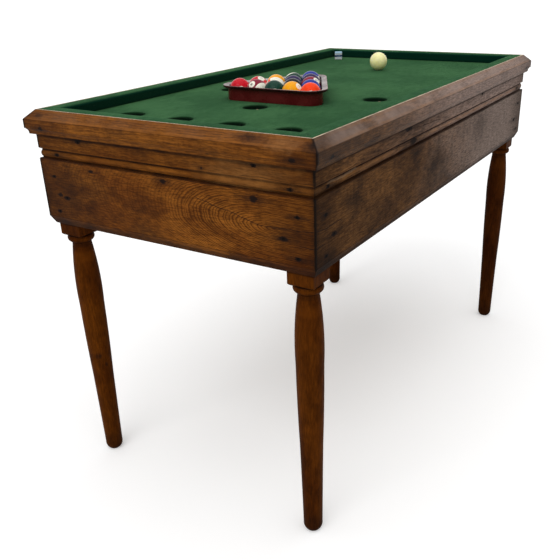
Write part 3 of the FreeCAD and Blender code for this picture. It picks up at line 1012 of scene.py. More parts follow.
@dataclass
class Bed(Assembly):
    """The playing cloth, its board and the tacks at the pockets."""

    pockets: tuple[Pair, ...] = (
        (-0.5, -0.201),
        (-0.5, -0.067),
        (-0.5, 0.067),
        (-0.5, 0.201),
        (-0.317, 0.0),
        (-0.123, 0.204),
        (-0.123, -0.204),
    )
    throat: float = 0.029
    lip: float = 0.0014
    lining: float = 0.0138
    ragged_from: float = 0.013
    patch: float = 0.044
    steps: int = 72
    grid: float = 0.021
    thickness: float = 0.0008
    light: Colour = (0.041, 0.114, 0.045)
    dark: Colour = (0.017, 0.060, 0.023)

    def _rings(self) -> list[Pair]:
        """Radius and drop of each ring of points, from the flat cloth down the pocket.

        Returns:
            The points.
        """
        rings = [(self.patch, 0.0), (0.0385, 0.0), (0.0350, 0.00003), (0.0322, 0.00006)]
        for step in range(7):
            turn = math.radians(15 * step)
            drop = self.lip * (1 - math.cos(turn)) + 0.0001
            rings.append((self.throat + self.lip * (1 - math.sin(turn)), drop))
        return rings + [(self.throat, 0.0050), (self.throat, 0.0095), (self.throat + 0.0001, self.lining)]

    def _circle(self, x: float, y: float, radius: float) -> list[Vector]:
        """Points round a pocket's middle."""
        turns = [2 * math.pi * step / self.steps for step in range(self.steps)]
        return [Vector((x + radius * math.cos(turn), y + radius * math.sin(turn))) for turn in turns]

    def _clear(self, place: Vector, reach: float) -> bool:
        """Whether a place is farther than a reach from every pocket's middle."""
        return all((place - Vector(pocket)).length > reach for pocket in self.pockets)

    def _flat(self) -> tuple[list[Vector], list[Face]]:
        """Fill the cloth between its edge and the pockets' patches.

        Returns:
            The points and the faces.
        """
        half_x, half_y = (size / 2 - RAIL_INSET - 0.001 for size in (TABLE_LENGTH, TABLE_WIDTH))
        flat: list[Vector] = []
        edges: list[tuple[int, int]] = []
        for x, y in self.pockets:
            start = len(flat)
            flat += self._circle(x, y, self.patch)
            edges += [(start + step, start + (step + 1) % self.steps) for step in range(self.steps)]
        many_x, many_y = round(2 * half_x / self.grid), round(2 * half_y / self.grid)
        for i in range(many_x + 1):
            for j in range(many_y + 1):
                place = Vector((-half_x + 2 * half_x * i / many_x, -half_y + 2 * half_y * j / many_y))
                if self._clear(place, self.patch + 0.004):
                    flat.append(place)
        points, _, triangles, *_ = delaunay_2d_cdt(flat, edges, [], 0, 1e-7)
        kept = []
        for triangle in triangles:
            middle = sum((points[i] for i in triangle), Vector((0, 0))) / len(triangle)
            if self._clear(middle, self.patch * math.cos(math.pi / self.steps) - 1e-5):
                kept.append(tuple(triangle))
        return [Vector((p.x, p.y, BED_HEIGHT)) for p in points], kept

    def _cloth(self, material: Material) -> Object:
        """Stretch one cloth over the board and down into the pockets.

        Args:
            material: The cloth's finish.

        Returns:
            The cloth.
        """
        places, faces = self._flat()
        rings = self._rings()
        for x, y in self.pockets:
            start = len(places)
            for radius, drop in rings:
                for step, place in enumerate(self._circle(x, y, radius)):
                    ragged = 0.0
                    if drop > self.ragged_from:
                        ragged = 0.0009 * noise.noise(Vector((x * 40, y * 40, step * 0.35)))
                    places.append(Vector((place.x, place.y, BED_HEIGHT - drop + ragged)))
            for ring in range(len(rings) - 1):
                a, b = start + ring * self.steps, start + (ring + 1) * self.steps
                for step in range(self.steps):
                    after = (step + 1) % self.steps
                    faces.append((a + step, a + after, b + after, b + step))
        piece = new_piece("bed_cloth_stretched", places, faces, material, 80.0)
        joined = bmesh.new()
        joined.from_mesh(piece.data)
        bmesh.ops.remove_doubles(joined, verts=joined.verts, dist=0.00004)
        bmesh.ops.recalc_face_normals(joined, faces=joined.faces)
        top = max(joined.faces, key=lambda face: face.calc_area())
        if top.normal.z < 0:
            bmesh.ops.reverse_faces(joined, faces=joined.faces)
        joined.to_mesh(piece.data)
        joined.free()
        thicken(piece, self.thickness)
        return piece

    def build(self) -> None:
        """Make the cloth and dress the board and the tacks."""
        finish = ClothFinish("bed_cloth_green", self.light, self.dark, pockets=self.pockets)
        cloth = self._cloth(finish.make(self.effects))
        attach(cloth, "table")
        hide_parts("bed_cloth")
        pine = ((0.52, 0.36, 0.20), (0.42, 0.27, 0.14), (0.30, 0.17, 0.08))
        self.dress(WoodFinish("bed_pine", Grain.FLAT_X, *pine, spacing=0.006, roughness=0.62), "bed_board")
        brass = PaintFinish("tack_brass", (0.17, 0.15, 0.08), (0.10, 0.085, 0.045), 0.50, 0.6, 0.004, shine=0.2)
        self.dress(brass, "cloth_tacks")
        LOG.info("bed: cloth of %d faces with %d pockets", len(cloth.data.polygons), len(self.pockets))


@dataclass
class Cushions(Assembly):
    """Low cushions round the bed, each under its own strip of cloth."""

    crown: Pair = (0.040, 0.0260)
    shoulder: Pair = (0.0465, 0.0259)
    strip_rise: float = 0.0246
    nose: Pair = (0.0510, 0.0202)
    nose_radius: float = 0.0054
    nose_turn: Pair = (76.0, -24.0)
    foot_inset: float = 0.0510
    thickness: float = 0.0007
    light: Colour = (0.034, 0.100, 0.041)
    dark: Colour = (0.015, 0.055, 0.023)
    steep: Colour = (0.002, 0.030, 0.018)

    def _section(self) -> list[Pair]:
        """Inset and rise of the cloth from the strip, over the crown and round the nose to the bed.

        Returns:
            The points.
        """
        points = [(STRIP_INSET, self.strip_rise)]
        wide, high = self.crown[0] - STRIP_INSET, self.crown[1] - self.strip_rise
        for step in range(1, 7):
            share = step / 7
            rise = self.strip_rise + high * math.sin(share * math.pi / 2)
            points.append((STRIP_INSET + wide * share, rise))
        points += [self.crown, self.shoulder]
        first, last = (math.radians(turn) for turn in self.nose_turn)
        for step in range(9):
            turn = first + (last - first) * step / 8
            inset = self.nose[0] + self.nose_radius * math.cos(turn)
            points.append((inset, self.nose[1] + self.nose_radius * math.sin(turn)))
        inset, rise = points[-1]
        for share in (step / 5 for step in range(1, 6)):
            points.append((inset + (self.foot_inset - inset) * share, rise * (1 - share)))
        return points

    @staticmethod
    def _place(side: Side, share: float, inset: float, rise: float) -> Vector:
        """One point of the cloth, with the mitre's crease and slight unevenness.

        Args:
            side: The side of the table.
            share: Place along the run, from -1 to 1.
            inset: Distance in from the rail's outer face.
            rise: Height over the bed.

        Returns:
            The place in the frame.
        """
        run = side.half_run - inset
        along = share * run
        crease = math.exp(-(((run - abs(along)) / 0.0035) ** 2)) * min(1.0, rise / 0.012)
        uneven = noise.noise(Vector((along * 9.0, inset * 30.0, side.half_run * 7 + side.reach))) * 0.00035
        lively = min(1.0, max(0.0, (inset - STRIP_INSET) / 0.012))
        low = 0.0007 * crease * lively
        height = BED_HEIGHT + max(0.0, rise + uneven * lively * 0.5 - low)
        return side.place(along, inset + uneven * lively * 0.6 - low * 0.6, height)

    def _cloth(self, side: Side, material: Material) -> Object:
        """Wrap one cushion.

        Args:
            side: The side of the table.
            material: The cloth's finish.

        Returns:
            The cloth.
        """
        section, many = self._section(), side.pick(150, 86)
        shares = [2 * i / many - 1 for i in range(many + 1)]
        fine = [-1 + 0.0022 * k for k in range(1, 7)]
        shares = sorted({round(s, 6) for s in shares + fine + [-f for f in fine]})
        places = [self._place(side, share, inset, rise) for share in shares for inset, rise in section]
        wide = len(section)
        faces = [
            (i * wide + j, i * wide + j + 1, (i + 1) * wide + j + 1, (i + 1) * wide + j)
            for i in range(len(shares) - 1)
            for j in range(wide - 1)
        ]
        name = f"cushion_cloth_stretched_{side.label}"
        piece = new_piece(name, places, face_up(places, faces), material, 70.0)
        thicken(piece, self.thickness)
        return piece

    def build(self) -> None:
        """Make the four cloths and dress the wood, rubber and strips."""
        finish = ClothFinish("cushion_cloth_green", self.light, self.dark, steep=self.steep)
        material = finish.make(self.effects)
        for side in Side:
            cloth = self._cloth(side, material)
            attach(cloth, "table")
            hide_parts(f"cushion_cloth_{side.label}")
            2 * side.half_run - CUSHION_CLOTH_SHORTER
            LOG.info("cushion on %s: %d faces", side.label, len(cloth.data.polygons))
        pine = ((0.50, 0.34, 0.19), (0.40, 0.26, 0.13), (0.28, 0.16, 0.07))
        wood = WoodFinish("cushion_pine", Grain.FLAT_X, *pine, spacing=0.004, roughness=0.6)
        rubber = PaintFinish("cushion_black_rubber", (0.018, 0.018, 0.018), (0.035, 0.034, 0.033), 0.75)
        self.dress(wood, *(f"cushion_rail_{side.label}" for side in Side))
        self.dress(rubber, *(f"cushion_rubber_{side.label}" for side in Side))
        beech = ((0.62, 0.50, 0.36), (0.50, 0.38, 0.26), (0.34, 0.24, 0.15))
        plain = {"spacing": 0.002, "wander": 0.004, "ring_depth": 0.35, "pore_depth": 0.2, "roughness": 0.55}
        self.dress(WoodFinish("strip_beech", Grain.FLAT_X, *beech, **plain), "feather_strips")


@dataclass
class Carcass(Assembly):
    """Cap rails, frieze and apron boards, legs and the work inside."""

    end_wood: tuple[Colour, ...] = ((0.255, 0.086, 0.011), (0.140, 0.041, 0.005), (0.030, 0.007, 0.0010))
    side_wood: tuple[Colour, ...] = ((0.190, 0.083, 0.025), (0.088, 0.038, 0.013), (0.020, 0.008, 0.003))
    leg_wood: tuple[Colour, ...] = ((0.100, 0.0265, 0.0018), (0.053, 0.0122, 0.0009), (0.013, 0.0027, 0.0004))
    # Painted sheens: grey reflections of the surroundings on the long sides' boards.
    apron_grey: Bloom = Bloom(-0.28, 0.40, 0.90, (0.196, 0.147, 0.123))
    frieze_grey: Bloom = Bloom(-0.60, 0.42, 0.95, (0.240, 0.172, 0.144))
    cap_grey: Bloom = Bloom(-0.50, 0.12, 0.86, (0.226, 0.158, 0.130))
    corner_gap: float = (TABLE_LENGTH - TABLE_WIDTH) / 2

    def _board(self, kind: str, side: Side, long_tone: float, end_tone: float, **values: object) -> None:
        """Dress one board: its wood is browner on the long sides and redder on the ends.

        Args:
            kind: The board's kind.
            side: The side of the table.
            long_tone: Factor on the light and the middle colour on a long side.
            end_tone: The same on an end.
            values: The finish's other values, a list where the long sides differ from the ends.
        """
        tone = side.pick(long_tone, end_tone)
        light, middle, dark = side.pick(self.side_wood, self.end_wood)
        colours = (tuple(tone * c for c in light), tuple(tone * c for c in middle), dark)
        own = {key: side.pick(*value) if isinstance(value, list) else value for key, value in values.items()}
        finish = WoodFinish(f"oak_{kind.split('_')[0]}_{side.label}", side.grain, *colours, **own)
        self.dress(finish, f"{kind}_{side.label}")

    def _caps(self, side: Side, seed: float) -> None:
        """Dress one cap rail: straight grain, worn outer edge with painted highlights, painted shade under the rail
        and in its crease, a film of dust with painted sky reflection on top, dirt at the mitres.

        Args:
            side: The side of the table.
            seed: Number that sets the board's place in the tree.
        """
        half = side.half_run
        marks = [Mark(-half + 0.050, 0.840, 0.0060, 1.5), Mark(half - 0.050, 0.840, 0.0055, 1.5)]
        marks += [cloud(-half + 0.215, 0.838, 0.0180, 2.6, 0.45), cloud(half - 0.27, 0.852, 0.0150, 3.0, 0.40)]
        if side is Side.POCKET_END:
            marks += [rub(-0.286, 0.864, 0.0190, 2.6, 0.95), cloud(-0.346, 0.866, 0.0200, 1.2, 0.95)]
            marks += [cloud(-0.215, 0.869, 0.0110, 3.6, 0.85), cloud(0.3188, 0.866, 0.0070, 3.0, 0.80)]
        self._board(
            "cap_rail",
            side,
            0.84,
            0.80,
            heart=(0.0, 0.62 + 0.03 * seed, 0.10 * seed),
            lean=(0.0, 0.035 - 0.01 * seed, 0.012),
            origin=(seed * 1.7, 0.0, 0.0),
            spacing=0.0026,
            wander=0.010,
            ring_depth=0.42,
            brushed=0.22,
            mottle=[0.50, 0.40],
            streaks=[0.48, 0.36],
            # Painted grey sheen on the long side, and on top a film of dust with a painted sky reflection.
            bloom=[self.cap_grey, None],
            sheen_film=[0.72, 0.30],
            film_colour=[(0.322, 0.236, 0.198), (0.24, 0.13, 0.075)],
            marks=tuple(marks),
            chip_colour=(0.340, 0.150, 0.050),
            # Painted shade with grime under the cap and in the crease; pale lines are wear with painted highlight on
            # the arrises.
            dark_lines=((CAP_BOTTOM, 0.0050, 0.85), (0.8575, 0.0012, 0.45)),
            worn_lines=((0.8600, 0.0030, 0.30), (0.8735, 0.0030, 0.25)),
            corners=(self.corner_gap, 0.0045),
            ends=(half, 0.016),
            roughness=0.50,
            shine=[0.06, 0.045],
        )

    def _frieze(self, side: Side, seed: float) -> None:
        """Dress one frieze board: painted shade with dirt in the grooves on both sides of the bead, and painted shadow
        under the cap.

        Args:
            side: The side of the table.
            seed: Number that sets the board's place in the tree.
        """
        half = side.half_run - FRIEZE_INSET
        bead, upper = side.half_run - 0.067, side.pick(0.2464, 0.2188)
        marks = [Mark(sign * bead, 0.7835, 0.0048, 2.0) for sign in (-1, 1)]
        marks += [Mark(sign * upper, 0.8185, 0.0042, 2.0) for sign in (-1, 1)]
        cracks = [Crack((-half, 0.7965), (-half + 0.16, 0.7985), 0.0009, 0.7)]
        if side is Side.POCKET_END:
            marks += [Mark(0.2188, 0.8196, 0.0065, 1.8), Mark(-0.1006, 0.8007, 0.0034, 0.7)]
            marks += [cloud(-0.2914, 0.7830, 0.0100, 2.0, 0.8), cloud(0.05, 0.8130, 0.0140, 3.0, 0.4)]
            marks += [rub(-0.200, 0.8000, 0.0620, 2.3, 0.95)]
        if side is Side.LEFT_SIDE:
            marks += [cloud(-0.2464, 0.8180, 0.0170, 1.5, 0.95), Mark(-0.2470, 0.8190, 0.0085, 2.6)]
            marks += [cloud(-0.2207, 0.7860, 0.0180, 1.7, 1.0), Mark(-0.2107, 0.7850, 0.0080, 3.0)]
            marks += [cloud(-0.06, 0.8100, 0.0120, 3.0, 0.2)]
            cracks += [Crack((-0.2464, 0.8150), (-0.05, 0.8050), 0.0012, 0.85)]
            cracks += [Crack((-0.2107, 0.7850), (-0.33, 0.7900), 0.0012, 0.85)]
            cracks += [Crack((-0.600, 0.7885), (-0.480, 0.7885), 0.0030, 0.75, True)]
            cracks += [Crack((-0.185, 0.7860), (-0.080, 0.7860), 0.0026, 0.6, True)]
        self._board(
            "frieze_board",
            side,
            0.92,
            0.72,
            heart=(0.0, 0.70 - 0.02 * seed, 0.14 - 0.03 * seed),
            lean=(0.0, -0.03, 0.02),
            origin=(seed * 2.3, 0.0, 0.0),
            spacing=0.0028,
            wander=0.010,
            ring_depth=0.42,
            brushed=0.15,
            mottle=[0.60, 0.40],
            streaks=[0.48, 0.34],
            # Painted grey sheen on the long side.
            bloom=[self.frieze_grey, None],
            marks=tuple(marks),
            chip_colour=[(0.26, 0.175, 0.11), (0.300, 0.135, 0.038)],
            cracks=tuple(cracks),
            # Painted shade with grime in the grooves, painted shadow under the cap; pale lines are wear with painted
            # highlight on the bead.
            dark_lines=((0.7750, 0.0030, 0.96), (0.7917, 0.0027, 0.96), (CAP_BOTTOM, 0.0072, 0.90)),
            worn_lines=((0.7850, 0.0050, side.pick(0.34, 0.30)), (0.7955, 0.0020, 0.15)),
            ends=(half, 0.012),
            roughness=0.54,
            shine=[0.015, 0.035],
        )

    @staticmethod
    def _apron_marks(side: Side, half: float) -> tuple[Mark, ...]:
        """Nails near the corners of every apron, and the knots and top nails of each board.

        Args:
            side: The side of the table.
            half: Half the board's length.

        Returns:
            The marks.
        """
        marks = []
        for sign in (-1, 1):
            near, far = sign * (half - 0.037), sign * (half - 0.067)
            marks += [Mark(near, 0.7360, 0.0046, 1.8), Mark(near, 0.6578, 0.0050, 1.8), Mark(far, 0.6913, 0.0062, 2.2)]
        if not side.long:
            marks += [Mark(-0.2157, 0.7575, 0.0074, 1.5), Mark(-0.0034, 0.7637, 0.0056, 1.8)]
            marks += [Mark(0.1919, 0.7596, 0.0040, 2.0)]
            marks += [cloud(0.26, 0.695, 0.115, 1.7, 0.84), cloud(-0.29, 0.700, 0.038, 1.8, 0.6)]
        if side is Side.POCKET_END:
            marks += [knot(0.2967, 0.6965, 0.0105), Mark(0.2967, 0.6965, 0.0060, 1.5)]
            marks += [cloud(0.06, 0.700, 0.050, 1.5, 0.45), cloud(0.06, 0.652, 0.034, 2.4, 0.70)]
        if side is Side.LEFT_SIDE:
            marks += [cloud(-0.4989, 0.7350, 0.046, 1.4, 0.85), cloud(-0.0800, 0.7050, 0.074, 1.3, 0.88)]
            marks += [cloud(-0.2000, 0.7600, 0.030, 2.0, 0.60), cloud(-0.610, 0.6450, 0.050, 1.2, 0.80)]
            marks += [cloud(0.24, 0.740, 0.060, 1.6, 0.55), cloud(-0.420, 0.668, 0.055, 1.8, 0.50)]
        if side is Side.RIGHT_SIDE:
            marks += [knot(0.3310, 0.7050, 0.0070), cloud(-0.20, 0.700, 0.065, 1.6, 0.5)]
        if side is Side.PLAYER_END:
            marks += [knot(-0.2550, 0.7150, 0.0075)]
        return tuple(marks)

    @staticmethod
    def _apron_cracks(side: Side, half: float) -> tuple[Crack, ...]:
        """Hair cracks that start at the boards' ends or run along the arches.

        Args:
            side: The side of the table.
            half: Half the board's length.

        Returns:
            The cracks.
        """
        cracks = [Crack((-half, 0.7130), (-half + 0.10, 0.7100), 0.0014, 0.9)]
        cracks += [Crack((half, 0.6800), (half - 0.07, 0.6830), 0.0009)]
        cracks += [Crack((-half, 0.6800), (-half + 0.035, 0.6845), 0.0014, 0.9)]
        if side is Side.POCKET_END:
            cracks += [Crack((-0.075, 0.7440), (-0.235, 0.7080), 0.0013, 0.85)]
            cracks += [Crack((-0.225, 0.7100), (-half, 0.7060), 0.0012, 0.8)]
        return tuple(cracks)

    def _apron(self, side: Side) -> None:
        """Dress one apron board, sawn near the heart so that the figure shows arches.

        Args:
            side: The side of the table.
        """
        hearts = {
            Side.POCKET_END: ((0.0, 0.706, 0.004), (0.0, -0.07, 0.43), (-0.236, 0.0, -0.648)),
            Side.LEFT_SIDE: ((0.0, 0.560, 0.030), (0.0, 0.10, 0.30), (0.10, 0.0, -0.344)),
            Side.PLAYER_END: ((0.0, 0.690, 0.008), (0.0, -0.05, 0.45), (0.12, 0.0, 0.648)),
            Side.RIGHT_SIDE: ((0.0, 0.705, 0.010), (0.0, -0.04, 0.30), (-0.30, 0.0, 0.344)),
        }
        heart, lean, origin = hearts[side]
        half = side.half_run - APRON_INSET
        # Painted shade in the crease over the bottom bevel.
        bevel_line = (APRON_BOTTOM + 0.0185, 0.0016, 0.55)
        self._board(
            "apron_board",
            side,
            0.71,
            0.98,
            heart=heart,
            lean=lean,
            origin=origin,
            hold=[0.18, 1.6],
            spacing=[0.0031, 0.0028],
            wander=[0.013, 0.010],
            ring_depth=[0.30, 0.70],
            clear_reach=[9.0, 0.14],
            mottle=[0.85, 0.55],
            brushed=[0.20, 0.10],
            streaks=[0.50, 0.40],
            # Painted grey sheen on the long side.
            bloom=[self.apron_grey, None],
            marks=self._apron_marks(side, half),
            cracks=self._apron_cracks(side, half),
            end_shade=0.62,
            # Painted shade with grime under the bead, and painted shade on the down-facing bottom bevel.
            dark_lines=((APRON_TOP, 0.0040, 0.85), bevel_line, (APRON_BOTTOM, 0.0190, 0.80)),
            ends=(half, 0.014),
            roughness=0.54,
            shine=[0.015, 0.035],
        )

    def _legs(self) -> None:
        """Dress the four turned legs, each from its own piece of oak, the legs further from the light in darker copies
        of the colour as painted shade.
        """
        knots = (knot(0.285, -0.626, 0.0065), knot(0.258, -0.613, 0.0050))
        # Painted shade in the turned rings under the block.
        rings = ((BLOCK_BOTTOM, 0.0030, 0.95), (0.578, 0.0028, 0.85), (0.572, 0.0080, 0.40))
        light, middle, dark = self.leg_wood
        # Each leg's last number darkens its colour: painted shade.
        legs = (("pocket_right", -1, 1, 1.0), ("pocket_left", -1, -1, 0.88))
        legs += (("player_left", 1, -1, 0.60), ("player_right", 1, 1, 0.75))
        for index, (name, x, y, tone) in enumerate(legs):
            finish = WoodFinish(
                f"oak_leg_{name}",
                Grain.UPRIGHT,
                (light[0] * tone, light[1] * tone, light[2]),
                (middle[0] * tone, middle[1] * tone, middle[2]),
                dark,
                heart=(0.0, 0.017 - 0.008 * index, 0.012 + 0.006 * index),
                lean=(0.0, 0.030 - 0.012 * index, -0.025),
                origin=(0.31 * index, x * LEG_PLACE[0], y * LEG_PLACE[1]),
                spacing=0.0034,
                wander=0.006,
                ring_depth=0.14,
                pore_depth=0.40,
                mottle=0.60,
                streaks=0.26,
                # Painted shade in the rings and under the apron, and darker towards the foot; pale bands are wear with
                # painted highlights on the swells.
                dark_lines=(*rings, (APRON_BOTTOM, 0.0060, 0.80), (0.000, 0.0700, 0.62)),
                worn_lines=((0.5000, 0.0700, 0.10), (0.5440, 0.0170, 0.26), (0.5870, 0.0035, 0.12)),
                marks=knots if index == 0 else (),
                roughness=0.42,
                shine=0.012,
            )
            self.dress(finish, f"leg_{name}", sharp=28.0)

    def _inside(self) -> None:
        """Dress the bare softwood and the nails."""
        pine = ((0.48, 0.32, 0.17), (0.38, 0.24, 0.12), (0.26, 0.14, 0.06))
        names = [f"bearer_{side.label}" for side in Side]
        names += ["return_board", "return_fences", "cross_bearers", "ball_trough"]
        self.dress(WoodFinish("inner_pine", Grain.FLAT_X, *pine, spacing=0.006, roughness=0.66), *names)
        iron = PaintFinish("old_iron", (0.0035, 0.0030, 0.0030), (0.010, 0.007, 0.005), 0.85, 0.0, 0.004, shine=0.02)
        self.dress(iron, "cut_nails")

    def build(self) -> None:
        """Dress every board of the carcass."""
        for index, side in enumerate(Side):
            seed = 0.6 * index - 0.9
            self._caps(side, seed)
            self._frieze(side, seed)
            self._apron(side)
            LOG.info("boards of %s dressed", side.label)
        self._legs()
        self._inside()
        LOG.info("legs and inner work dressed")


@dataclass
class Rack(Assembly):
    """One moulded triangle round the balls, with a flange that rises outward round its top."""

    inner: float = 0.0258
    wall: float = 0.0030
    flange: float = 0.0106
    height: float = 0.0350
    rise: float = 0.0024
    thickness: float = 0.0030
    rim: float = 0.0020
    rim_drop: float = 0.0030
    turn_steps: int = 14
    side_steps: int = 16

    def _section(self) -> list[Pair]:
        """Distance out and height of the wall, flange and rim, with rounded edges.

        Returns:
            The points.
        """
        outer, edge, top = self.inner + self.wall, self.inner + self.wall + self.flange, self.height
        low, slope = top - self.rise, self.rise / self.flange
        under, rim = low - self.thickness, edge - self.rim
        under_rim, lip = top - self.thickness - slope * self.rim, top - self.thickness - self.rim_drop
        points = [(self.inner + 0.0003, 0.0), (outer - 0.0003, 0.0), (outer, 0.0004)]
        points += self._round((outer, under - 0.0018), (outer, under), (outer + 0.0018, under + slope * 0.0018))
        before = (rim - 0.0006, under_rim - slope * 0.0006)
        points += self._round(before, (rim, under_rim), (rim, under_rim - 0.0006))
        points += [(rim, lip + 0.0004), (rim + 0.0004, lip), (edge - 0.0004, lip), (edge, lip + 0.0004)]
        points += self._round((edge, top - 0.0017), (edge, top), (edge - 0.0017, top - slope * 0.0017), 5)
        points += [(outer, low)]
        points += self._round((self.inner + 0.0018, low), (self.inner, low), (self.inner, low - 0.0022), 5)
        return points + [(self.inner, 0.0004)]

    @staticmethod
    def _round(start: Pair, corner: Pair, stop: Pair, many: int = 4) -> list[Pair]:
        """Points of a rounded corner, from its start to its stop.

        Args:
            start: Where it starts.
            corner: The corner that is rounded off.
            stop: Where it stops.
            many: Number of steps.

        Returns:
            The points.
        """
        rounded = []
        for share in (step / many for step in range(many + 1)):
            a, b, c = (1 - share) ** 2, 2 * share * (1 - share), share**2
            rounded.append(tuple(a * start[k] + b * corner[k] + c * stop[k] for k in (0, 1)))
        return rounded

    def _stations(self) -> list[tuple[Vector, Vector]]:
        """Points along the line of the outer balls' centres, each with its way out.

        Returns:
            The points and their ways out.
        """
        side, depth = 4 * BALL_PITCH, 4 * BALL_PITCH * math.sqrt(3) / 2
        ends = ((RACK_ROW_X, side / 2), (RACK_ROW_X, -side / 2), (RACK_ROW_X + depth, 0.0))
        corners = [Vector(end) for end in ends]
        stations: list[tuple[Vector, Vector]] = []
        for index, corner in enumerate(corners):
            after, before = corners[(index + 1) % 3], corners[index - 1]
            ahead = (after - corner).normalized()
            behind = (corner - before).normalized()
            out_before, out_after = Vector((behind.y, -behind.x)), Vector((ahead.y, -ahead.x))
            if out_after.dot(corner - (corners[0] + corners[1] + corners[2]) / 3) < 0:
                out_before, out_after = -out_before, -out_after
            sweep = out_before.angle_signed(out_after)
            for step in range(self.turn_steps + 1):
                stations.append((corner, Matrix.Rotation(-sweep * step / self.turn_steps, 2) @ out_before))
            for step in range(1, self.side_steps):
                stations.append((corner.lerp(after, step / self.side_steps), out_after))
        return stations

    def build(self) -> None:
        """Mould the rack and put it on its body."""
        section, stations = self._section(), self._stations()
        places = []
        for foot, way in stations:
            for out, rise in section:
                spot = foot + way * out
                places.append(Vector((spot.x, spot.y, LOOSE_HEIGHT + rise)))
        wide, many = len(section), len(stations)
        faces = []
        for i in range(many):
            here, after = i * wide, (i + 1) % many * wide
            for j in range(wide):
                beside = (j + 1) % wide
                faces.append((here + j, here + beside, after + beside, after + j))
        plastic = PaintFinish(
            "rack_maroon_plastic",
            (0.100, 0.007, 0.008),
            (0.140, 0.016, 0.015),
            0.26,
            size=0.05,
            # Dust with a painted pale reflection on the flange's top.
            dusty=0.85,
            dust_colour=(0.46, 0.42, 0.395),
            # Painted shadow with grime under the flange's rim.
            grime=(LOOSE_HEIGHT + self.height - 0.0044, 0.0048),
            coat=0.10,
            shine=0.20,
        )
        piece = new_piece("rack_moulding", places, faces, plastic.make(self.effects), 50.0)
        turned = bmesh.new()
        turned.from_mesh(piece.data)
        bmesh.ops.recalc_face_normals(turned, faces=turned.faces)
        turned.to_mesh(piece.data)
        turned.free()
        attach(piece, "rack")
        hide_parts("rack_sides", "rack_corners")
        LOG.info("rack: %d faces", len(faces))


# Ways of each ball's first spot and of its stripe's axis or digits, as the eye sees the ball: right, up, toward.
FACING: dict[int, tuple[Point, Point]] = {
    3: ((0.10, -0.15, 0.98), (0.0, 1.0, 0.2)),
    15: ((-0.505, 0.533, 0.679), (0.62, -0.35, 0.70)),
    6: ((0.06, -0.17, 0.98), (0.0, 1.0, 0.17)),
    1: ((0.68, 0.51, 0.52), (-0.4, 0.85, 0.0)),
    5: ((0.05, -0.12, 0.99), (0.0, 1.0, 0.0)),
    11: ((0.33, 0.80, 0.50), (0.35, -0.62, 0.70)),
    13: ((0.85, -0.45, 0.00), (0.45, 0.85, 0.27)),
    8: ((0.95, -0.05, 0.30), (0.2, 0.9, 0.0)),
    10: ((0.99, -0.05, -0.10), (0.10, -0.28, 0.95)),
    9: ((0.98, -0.20, -0.03), (0.05, 0.40, -0.91)),
    4: ((0.90, -0.08, -0.42), (0.0, 1.0, 0.0)),
    7: ((0.62, 0.60, 0.50), (0.0, 0.6, 0.8)),
    14: ((0.95, 0.30, -0.10), (-0.30, 0.75, -0.59)),
    12: ((0.97, 0.00, 0.22), (-0.20, -0.40, 0.88)),
    2: ((-0.85, -0.10, -0.50), (0.0, 1.0, 0.0)),
}


